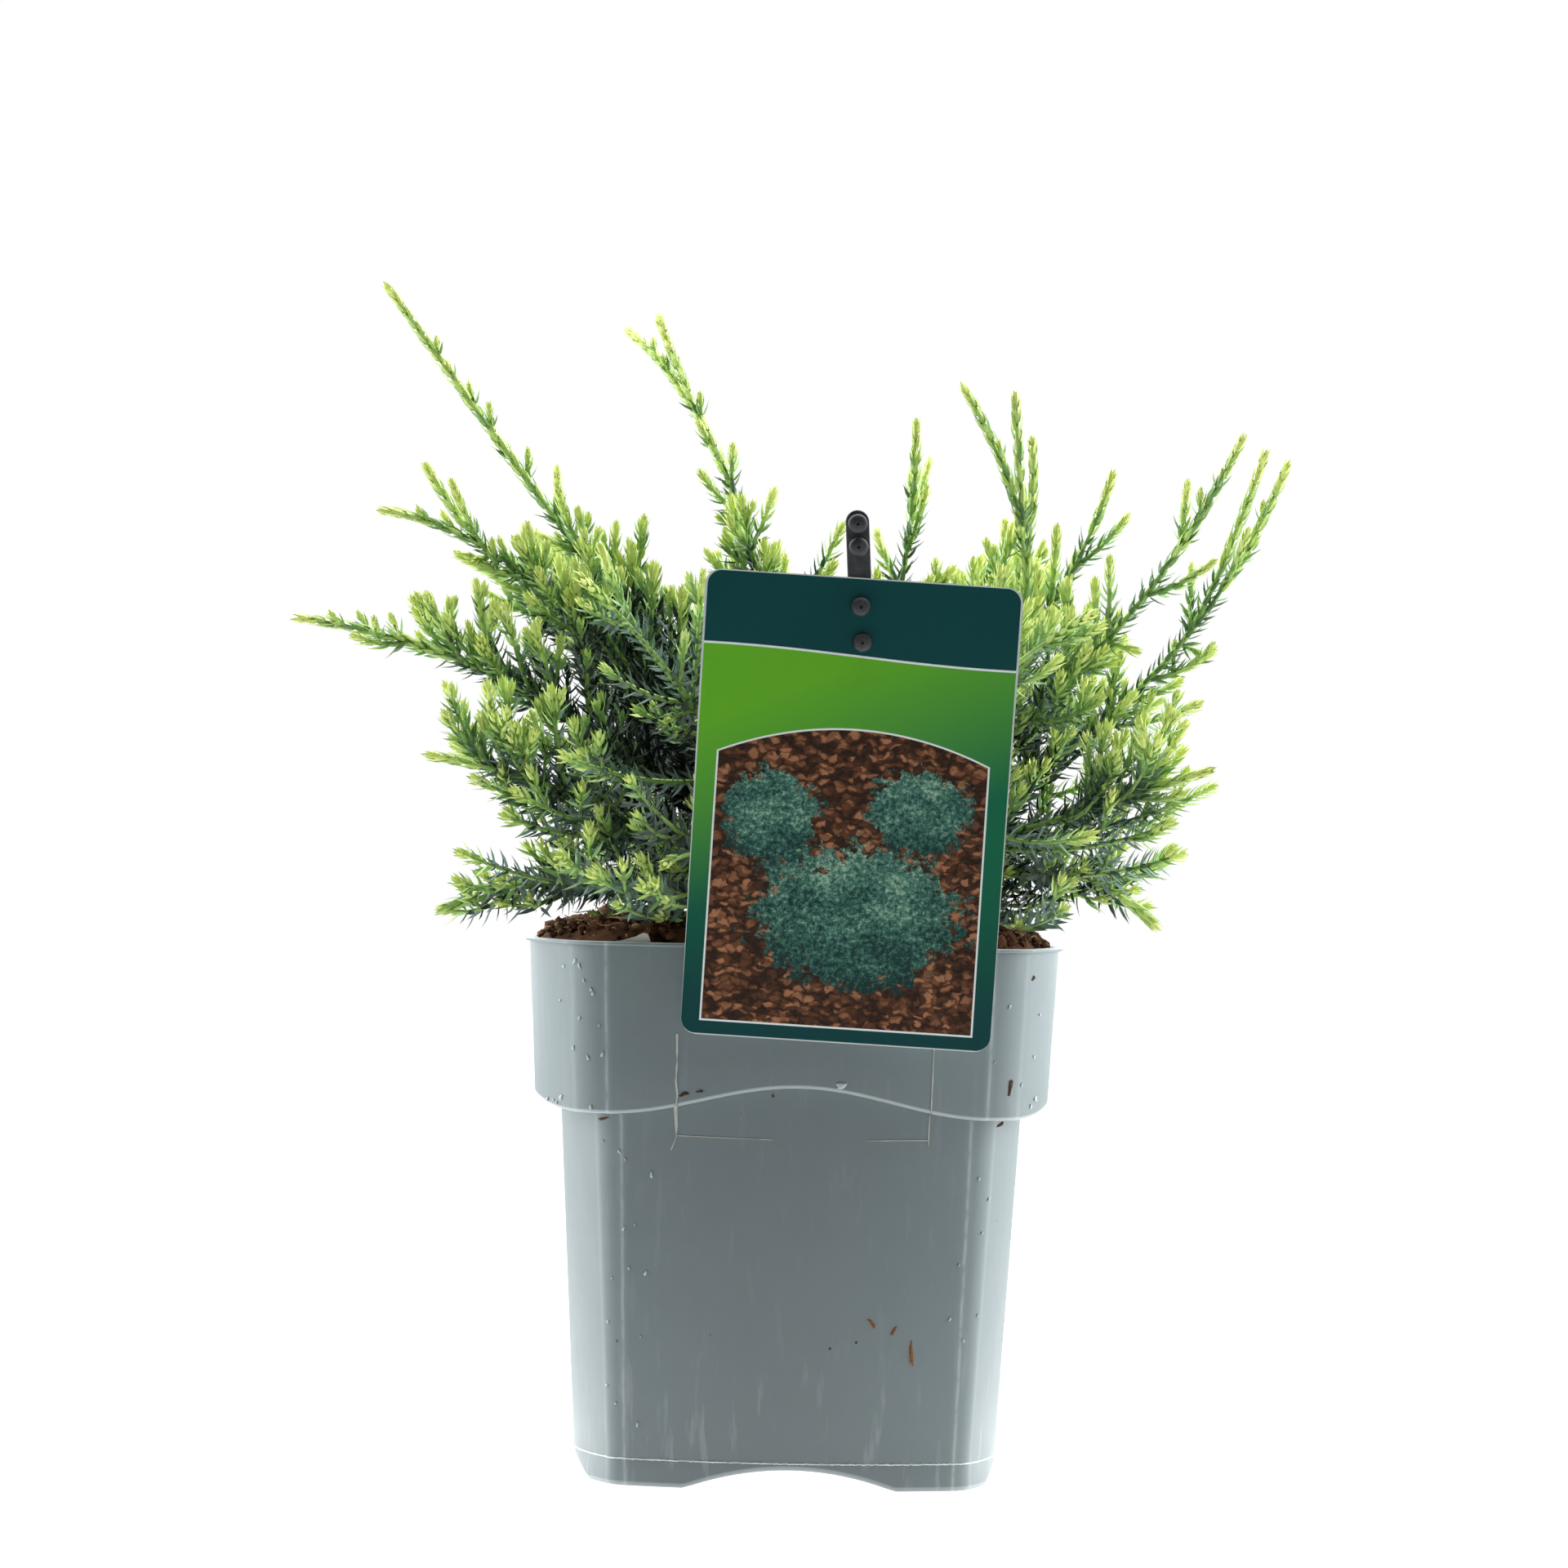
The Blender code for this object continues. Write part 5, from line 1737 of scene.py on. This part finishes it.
def label_material(settings):
    """Printed satin plastic: a dark head, a green band and a picture of low shrubs.

    All distances are in the label's own plane, across and up from its middle.
    """
    made, tree, shader = new_material("label_print", settings.head_colour, 0.34)
    shader.inputs["Specular IOR Level"].default_value = 0.2
    _, (x, _, z) = object_place(tree)
    dx, dz = x - LABEL_MIDDLE.x, z - LABEL_MIDDLE.z
    cosine, sine = math.cos(LABEL_TURN), math.sin(LABEL_TURN)
    across = dx * cosine - dz * sine
    up = dx * sine + dz * cosine
    plane = joined(tree, across, up, 0.0)

    band = (up - across * 0.45 + 14 * MM) / (62 * MM)
    colour = mixed(tree, band, settings.band_low_colour, settings.band_colour)
    foot = (up + LABEL_HALF_TALL) / (70 * MM)
    colour = mixed(tree, foot.above(0.5, 1.0), settings.head_colour, colour)

    head_edge = up + (across / (28 * MM)).math("SINE") * (1.6 * MM)
    colour = mixed(tree, head_edge.above(HEAD_LINE, PRINT_SOFT), colour, LINE_COLOUR)
    glow = noise_field(tree, plane, 18.0, 1.0) * 0.5
    head = mixed(tree, glow, settings.head_colour, settings.head_glow_colour)
    colour = mixed(tree, head_edge.above(HEAD_EDGE, PRINT_SOFT), colour, head)

    arched = up + across * across * 5.0 - PICTURE_TOP
    sides = across.absolute() - PICTURE_HALF
    box = arched.math("MAXIMUM", sides).math("MAXIMUM", up * -1.0 - PICTURE_FOOT)
    colour = mixed(tree, box.below(0.0, PRINT_SOFT), colour, LINE_COLOUR)
    picture = bark_print(tree, across, up)
    for (ax, ay), (rx, ry), seed in SHRUB_PLACES:
        middle, radii = (ax * MM, ay * MM), (rx * MM, ry * MM)
        inside, leaves = shrub_print(tree, across, up, middle, radii, seed)
        picture = mixed(tree, inside, picture, leaves)
    colour = mixed(tree, box.below(-PICTURE_BORDER, PRINT_SOFT), colour, picture)

    half_wide = up * (LABEL_WIDENING / 2) + LABEL_HALF_WIDE
    rim = round_box(across, up, half_wide, LABEL_HALF_TALL, LABEL_ROUND)
    colour = mixed(tree, rim.above(-0.4 * MM, PRINT_SOFT), colour, LABEL_EDGE_COLOUR)
    facing = parts_of(tree, tree.nodes.new("ShaderNodeNewGeometry").outputs["Normal"])
    colour = mixed(tree, facing[1].below(-0.5, 0.1), LABEL_BACK_COLOUR, colour)
    feed(tree, colour, shader.inputs["Base Color"])
    return made


# Settings that a user would change.


def colour_property(name, default, description):
    """A colour for the panel."""
    told = {"name": name, "description": description, "default": default}
    return FloatVectorProperty(subtype="COLOR", size=3, min=0, max=1, **told)


def level_property(name, default, description, **others):
    """A number for the panel, not below 0."""
    told = {"name": name, "description": description, "default": default}
    return FloatProperty(min=0, **told, **others)


def length_property(name, default, description):
    """A length, with its default in millimetres."""
    return level_property(name, default * MM, description, unit="LENGTH")


def count_property(name, default, description):
    """A whole number for the panel, not below 0."""
    return IntProperty(name=name, description=description, default=default, min=0)


class JuniperPotSettings(bpy.types.PropertyGroup):
    colour: colour_property("Plastic", (0.113, 0.143, 0.149), "The pot's plastic")
    worn_colour: colour_property("Worn plastic", (0.133, 0.167, 0.173), "Its paler patches")
    # The pale colour of the streaks and the foot band, and of the painted highlights on the
    # creases, lip and rim.
    highlight_and_mark_colour: colour_property("Marks", (0.62, 0.66, 0.67), "Creases and moulding lines")
    gloss: level_property("Roughness", 0.38, "Roughness of the plastic", max=1)
    film_thickness: length_property("Film", 0.12, "Thickness of the film's edges")
    drops: count_property("Drops", 46, "Water drops on the front")


class JuniperSoilSettings(bpy.types.PropertyGroup):
    peat_colour: colour_property("Peat", (0.036, 0.017, 0.009), "The dark peat")
    fibre_colour: colour_property("Fibres", (0.20, 0.115, 0.060), "Fibres and chips")
    lumps: count_property("Crumbs", 2600, "Crumbs on the soil")
    fibres: count_property("Fibres", 700, "Fibres on the soil")


class JuniperPlantSettings(bpy.types.PropertyGroup):
    needle_length: length_property("Needle length", 8.0, "Length of a full needle")
    needle_width: length_property("Needle width", 1.6, "Width of a full needle")
    shoot_spacing: length_property("Shoot spacing", 4.4, "Distance between side shoots")
    twig_spacing: length_property("Twig spacing", 6.2, "Distance between the finest twigs")
    bloom: level_property("Bloom", 0.14, "How pale the needles' inner faces are", max=1)
    bloom_colour: colour_property("Bloom colour", (0.42, 0.55, 0.46), "The inner faces")
    bark_colour: colour_property("Bark", (0.16, 0.085, 0.05), "Bark of trunk and boughs")
    twig_colour: colour_property("Twigs", (0.045, 0.035, 0.018), "Woody twigs")
    green_stem_colour: colour_property("Green stems", (0.24, 0.38, 0.10), "Young stems")
    # Tips and young needles are their own yellow-green, made paler here as a painted glow of
    # light through them.
    tip_colour: colour_property("Tips", (0.59, 0.68, 0.20), "Needles at the shoot tips")
    young_colour: colour_property("Young", (0.40, 0.55, 0.14), "Needles just behind the tips")
    # Fresh and green are also painted light: old needles take them where much light falls.
    fresh_colour: colour_property("Fresh", (0.18, 0.33, 0.088), "Needles of this year")
    green_colour: colour_property("Green", (0.068, 0.150, 0.047), "Needles of last year")
    blue_colour: colour_property("Blue-green", (0.031, 0.079, 0.056), "Old needles")
    grey_colour: colour_property("Grey-green", (0.075, 0.130, 0.110), "Old needles' bloom")
    # Painted shade: the dark tint of needles deep inside the crown.
    shade_colour: colour_property("Inside", (0.010, 0.025, 0.017), "Needles inside the crown")


class JuniperLabelSettings(bpy.types.PropertyGroup):
    head_colour: colour_property("Head", (0.002, 0.046, 0.049), "Dark head of the label")
    head_glow_colour: colour_property("Head glow", (0.004, 0.080, 0.080), "Its paler part")
    band_colour: colour_property("Band", (0.125, 0.43, 0.020), "Top of the green band")
    band_low_colour: colour_property("Band foot", (0.006, 0.130, 0.062), "Foot of that band")
    holder_colour: colour_property("Holder", (0.013, 0.014, 0.018), "Plastic of the holder")


class JuniperStageSettings(bpy.types.PropertyGroup):
    front_light: level_property("Front", 0.03, "Sky in front")
    back_light: level_property("Back", 2.9, "Sky behind")
    side_light: level_property("Sides", 16, "Soft boxes, in watts")
    top_light: level_property("Top", 26, "Soft box above, in watts")
    floor_glow: level_property("Floor", 1.25, "Light of the floor")


SETTINGS = {
    "juniper_pot": JuniperPotSettings,
    "juniper_soil": JuniperSoilSettings,
    "juniper_plant": JuniperPlantSettings,
    "juniper_label": JuniperLabelSettings,
    "juniper_stage": JuniperStageSettings,
}


class JUNIPER_OT_pot(bpy.types.Operator):
    """Make the pot with its rounded lip, bead, arches and drain holes"""

    bl_idname = "juniper.pot"
    bl_label = "Pot"

    def execute(self, context):
        settings = context.scene.juniper_pot
        shape = Shape()
        shape.shell(pot_rings())
        material = pot_material(settings)
        pot = shape.piece("pot_shell", material, "pot", crease=32, nodes=("pot",))
        away = DRAIN_AWAY
        places = ((0, 0), (away, away), (-away, away), (-away, -away), (away, -away))
        cut_holes(pot, places, DRAIN_RADIUS, 0, 2 * FLOOR_TOP)
        return {"FINISHED"}


class JUNIPER_OT_pot_marks(bpy.types.Operator):
    """Add the film's edges, splinters of soil and water drops on the pot"""

    bl_idname = "juniper.pot_marks"
    bl_label = "Marks on the pot"

    def execute(self, context):
        settings = context.scene.juniper_pot
        film = Shape()
        for route, wide in zip(FILM_RUNS, FILM_WIDE):
            wall_ribbon(film, route, wide, settings.film_thickness)
        add_flap(film, settings.film_thickness)
        clear = plain_material("film_edge", FILM_COLOUR, 0.4)
        film.piece("film_edges", clear, "pot", crease=40)
        for kind, colour in SPLINTER_COLOURS.items():
            shape = Shape()
            for k, (x, z, long, wide, lean, what) in enumerate(CHIPS):
                if what == kind:
                    chip(shape, x, z, long, wide, lean, k)
            material = soil_material(f"splinter_{kind}", colour, SPLINTER_GRAIN, 900.0)
            shape.piece(f"splinters_{kind}", material, "soil", smooth=False)
        drops = Shape()
        for k, (x, z, size, longer, lean) in enumerate(drop_places(settings.drops)):
            chip(drops, x, z, size * longer, size, lean, k)
        wet = plain_material("water", WATER_COLOUR, 0.12)
        drops.piece("water_drops", wet, "pot")
        return {"FINISHED"}


class JUNIPER_OT_soil(bpy.types.Operator):
    """Make the soil with its crumbs, chips and fibres"""

    bl_idname = "juniper.soil"
    bl_label = "Soil"

    def execute(self, context):
        settings = context.scene.juniper_soil
        draw = np.random.default_rng(SEED + 1)
        peat = soil_material("peat", settings.peat_colour, (0.105, 0.045, 0.020), 180.0)
        body = Shape()
        body.shell(soil_rings())
        body.piece("soil_bed", peat, "soil", crease=60, nodes=("soil",))
        crumbs = Shape()
        places = soil_places(settings.lumps, draw)
        sizes = CRUMB_LEAST + draw.gamma(2.0, 0.48, len(places)) * MM
        sizes = np.minimum(sizes, CRUMB_MOST)
        scatter_lumps(crumbs, places + UP * (0.5 * MM), sizes, draw)
        crumbs.piece("soil_crumbs", peat, "soil", smooth=False)
        woody = soil_material("fibre", settings.fibre_colour, (0.34, 0.22, 0.13), 240.0)
        threads = Shape()
        for start in soil_places(settings.fibres, draw, 4):
            turn = draw.uniform(0, TAU)
            way = np.array((math.cos(turn), math.sin(turn), draw.uniform(-0.05, 0.25)))
            long = draw.uniform(*FIBRE_LENGTHS) * MM
            end = start + long * way
            if max(abs(end[0]), abs(end[1])) > SOIL_REACH:
                continue
            radius = draw.uniform(*FIBRE_RADII) * MM
            fibre(threads, start + UP * MM, way, long, radius, draw)
        chips = soil_places(settings.lumps // 5, draw)
        sizes = draw.uniform(*CHIP_SIZES, len(chips)) * MM
        scatter_lumps(threads, chips + UP * (0.9 * MM), sizes, draw)
        threads.piece("soil_fibres", woody, "soil", smooth=False)
        return {"FINISHED"}


class JUNIPER_OT_wood(bpy.types.Operator):
    """Make the trunk and the boughs with the relief of their bark"""

    bl_idname = "juniper.wood"
    bl_label = "Trunk and boughs"

    def execute(self, context):
        material = bark_material(context.scene.juniper_plant)
        boughs = [f"bough_{name}" for name in STEMS]
        shape = bark_shape()
        shape.piece("bark", material, "bark", crease=50, nodes=("trunk", *boughs))
        return {"FINISHED"}


class JUNIPER_OT_foliage(bpy.types.Operator):
    """Grow the twigs and needles of every mass"""

    bl_idname = "juniper.foliage"
    bl_label = "Twigs and needles"

    def execute(self, context):
        settings = context.scene.juniper_plant
        shoots = []
        for index, name in enumerate(STEMS):
            shoots.extend(grow_mass(name, index, settings))
        find_cover(shoots)
        self.make_twigs(shoots, settings)
        self.make_needles(shoots, settings)
        return {"FINISHED"}

    def make_twigs(self, shoots, settings):
        """Tapering tubes along the shoots, woody near the trunk and green beyond."""
        woody, green = Shape(), Shape()
        for shoot in shoots:
            sides = 6 if shoot.kind == "stem" else 4
            steps = max(int(shoot.length / (5 * MM)), 2)
            at = np.linspace(0, shoot.length - 1.0 * MM, steps + 1)
            path = points_at(shoot.path, at)
            radii = shoot.radius_at(at)
            near = (np.hypot(*path[:, :2].T) < WOODY_WITHIN) & (path[:, 2] < WOODY_UNDER)
            old = int(near.sum())
            if old > 1:
                woody.shell(tube_rings(path[:old], radii[:old], sides))
            if steps - old > 0:
                first = max(old - 1, 0)
                green.shell(tube_rings(path[first:], radii[first:], sides))
        foliage = [f"foliage_{name}" for name in STEMS]
        brown = plain_material("twig_brown", settings.twig_colour, 0.8)
        woody.piece("twigs_woody", brown, "bark", nodes=foliage)
        leafy = plain_material("twig_green", settings.green_stem_colour, 0.6)
        green.piece("twigs_green", leafy, "foliage", nodes=foliage)

    def make_needles(self, shoots, settings):
        """All needles, sorted by tint and by side of the plant into joined pieces."""
        rows, sides, tints = [], [], []
        for shoot in shoots:
            found = shoot_needles(shoot, settings)
            draw = np.random.default_rng([SEED, 9, shoot.order])
            tip = found[0] + found[1] * found[3][:, None]
            keep = clear_of_pot(tip) & in_model_box(tip, NEEDLE_PAST_BOX)
            found = [part[keep] for part in found]
            noise = draw.normal(0, SHOOT_NOISE)
            tints.append(tint_numbers(found[5], found[0], shoot.cover, noise, draw))
            sides.append(np.full(keep.sum(), SIDES.index(side_of(shoot.name))))
            rows.append(found[:5])
        kept = [np.concatenate([row[k] for row in rows]) for k in range(5)]
        tint, side = np.concatenate(tints), np.concatenate(sides)
        for t, name in enumerate(TINTS):
            colour = tuple(getattr(settings, f"{name}_colour"))
            outer = plain_material(f"needles_{name}", colour, 0.5)
            bloom = between(colour, settings.bloom_colour, settings.bloom)
            inner = plain_material(f"needles_{name}_inside", bloom, 0.6)
            for s, where in enumerate(SIDES):
                chosen = (tint == t) & (side == s)
                if not chosen.any():
                    continue
                shape = Shape()
                points, faces, inside = needle_shells(*(values[chosen] for values in kept))
                shape.add(points, *faces)
                nodes = [f"foliage_{stem}" for stem in STEMS if side_of(stem) == where]
                piece = f"needles_{name}_{where}"
                other = (inner, inside)
                shape.piece(piece, outer, "foliage", False, nodes=nodes, other=other)


class JUNIPER_OT_label(bpy.types.Operator):
    """Print the label and make its studded holder"""

    bl_idname = "juniper.label"
    bl_label = "Label and holder"

    def execute(self, context):
        settings = context.scene.juniper_label
        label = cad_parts["label"]
        label.data.materials.clear()
        label.data.materials.append(label_material(settings))
        material = holder_material(settings)
        nodes = ("label_holder",)
        holder_shape().piece("studded_holder", material, "holder", crease=35, nodes=nodes)
        return {"FINISHED"}


class JUNIPER_OT_stage(bpy.types.Operator):
    """Set up the pale floor, the soft light and the camera"""

    bl_idname = "juniper.stage"
    bl_label = "Stage"

    def execute(self, context):
        settings = context.scene.juniper_stage
        self.make_floor(settings)
        self.make_sky(context.scene, settings)
        for name, (place, size, power, share) in SOFT_BOXES.items():
            self.soft_box(name, place, size, getattr(settings, power) * share)
        self.make_camera(context.scene)
        view = context.scene.view_settings
        view.view_transform = "Standard"
        view.look = "None"
        return {"FINISHED"}

    def make_floor(self, settings):
        """A flat floor that looks white, and lights the pot most from near by."""
        mesh = bpy.data.meshes.new("floor")
        signs = ((-1, -1), (1, -1), (1, 1), (-1, 1))
        corners = [(x * FLOOR_HALF, y * FLOOR_HALF, 0) for x, y in signs]
        mesh.from_pydata(corners, [], [(0, 1, 2, 3)])
        floor = new_object("floor", mesh)
        white, tree, shader = new_material("floor_white", (0.38, 0.38, 0.38), 0.8)
        shader.inputs["Emission Color"].default_value = (1, 1, 1, 1)
        _, (x, y, _) = object_place(tree)
        near = (x * x + y * y).math("SQRT").below(0.26, 0.36)
        _, strength = white_to_camera(tree, (near * 0.85 + 0.15) * settings.floor_glow)
        feed(tree, strength, shader.inputs["Emission Strength"])
        mesh.materials.append(white)

    def make_sky(self, scene, settings):
        """A studio of light: bright behind the plant and dimmer in front of it."""
        world = bpy.data.worlds.new("studio")
        scene.world = world
        world.use_nodes = True
        tree = world.node_tree
        back = tree.nodes["Background"]
        way = tree.nodes.new("ShaderNodeTexCoord").outputs["Generated"]
        behind = parts_of(tree, way)[1].above(0.10, 0.78)
        light = behind * (settings.back_light - settings.front_light) + settings.front_light
        seen, strength = white_to_camera(tree, light)
        feed(tree, strength, back.inputs["Strength"])
        feed(tree, mixed(tree, seen, SKY_TINT, (1, 1, 1)), back.inputs["Color"])

    def soft_box(self, name, place, size, power):
        lamp = bpy.data.lights.new(name, "AREA")
        lamp.size = size
        lamp.energy = power
        made = new_object(name, lamp)
        made.location = place
        made.rotation_euler = (LIT_POINT - Vector(place)).to_track_quat("-Z", "Y").to_euler()
        made.visible_glossy = False

    def make_camera(self, scene):
        lens = bpy.data.cameras.new("camera")
        lens.lens = CAMERA_LENS
        lens.sensor_width = 36
        lens.shift_x, lens.shift_y = CAMERA_SHIFT
        camera = new_object("camera", lens)
        turn = Matrix.Rotation(-CAMERA_TURN, 4, "Z")
        tilt = Matrix.Rotation(math.pi / 2, 4, "X") @ Matrix.Rotation(CAMERA_ROLL, 4, "Z")
        place = turn @ Vector((0, -CAMERA_FAR, 0))
        place.z = CAMERA_HEIGHT
        camera.matrix_world = Matrix.Translation(place) @ turn @ tilt
        scene.camera = camera


STEPS = (
    JUNIPER_OT_pot,
    JUNIPER_OT_pot_marks,
    JUNIPER_OT_soil,
    JUNIPER_OT_wood,
    JUNIPER_OT_foliage,
    JUNIPER_OT_label,
    JUNIPER_OT_stage,
)


class JUNIPER_PT_panel(bpy.types.Panel):
    """The potted juniper's settings and its build steps"""

    bl_label = "Potted juniper"
    bl_idname = "JUNIPER_PT_panel"
    bl_space_type = "VIEW_3D"
    bl_region_type = "UI"
    bl_category = "Juniper"

    def draw(self, context):
        for step in STEPS:
            self.layout.operator(step.bl_idname)
        for key, group in SETTINGS.items():
            box = self.layout.box()
            for name in group.__annotations__:
                box.prop(getattr(context.scene, key), name)


CLASSES = (*SETTINGS.values(), *STEPS, JUNIPER_PT_panel)


def register():
    for cls in CLASSES:
        bpy.utils.register_class(cls)
    for key, group in SETTINGS.items():
        setattr(bpy.types.Scene, key, PointerProperty(type=group))


def unregister():
    for key in SETTINGS:
        delattr(bpy.types.Scene, key)
    for cls in reversed(CLASSES):
        bpy.utils.unregister_class(cls)


def main():
    register()
    for step in STEPS:
        group, name = step.bl_idname.split(".")
        getattr(getattr(bpy.ops, group), name)()
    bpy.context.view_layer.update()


if __name__ == "__main__":
    main()
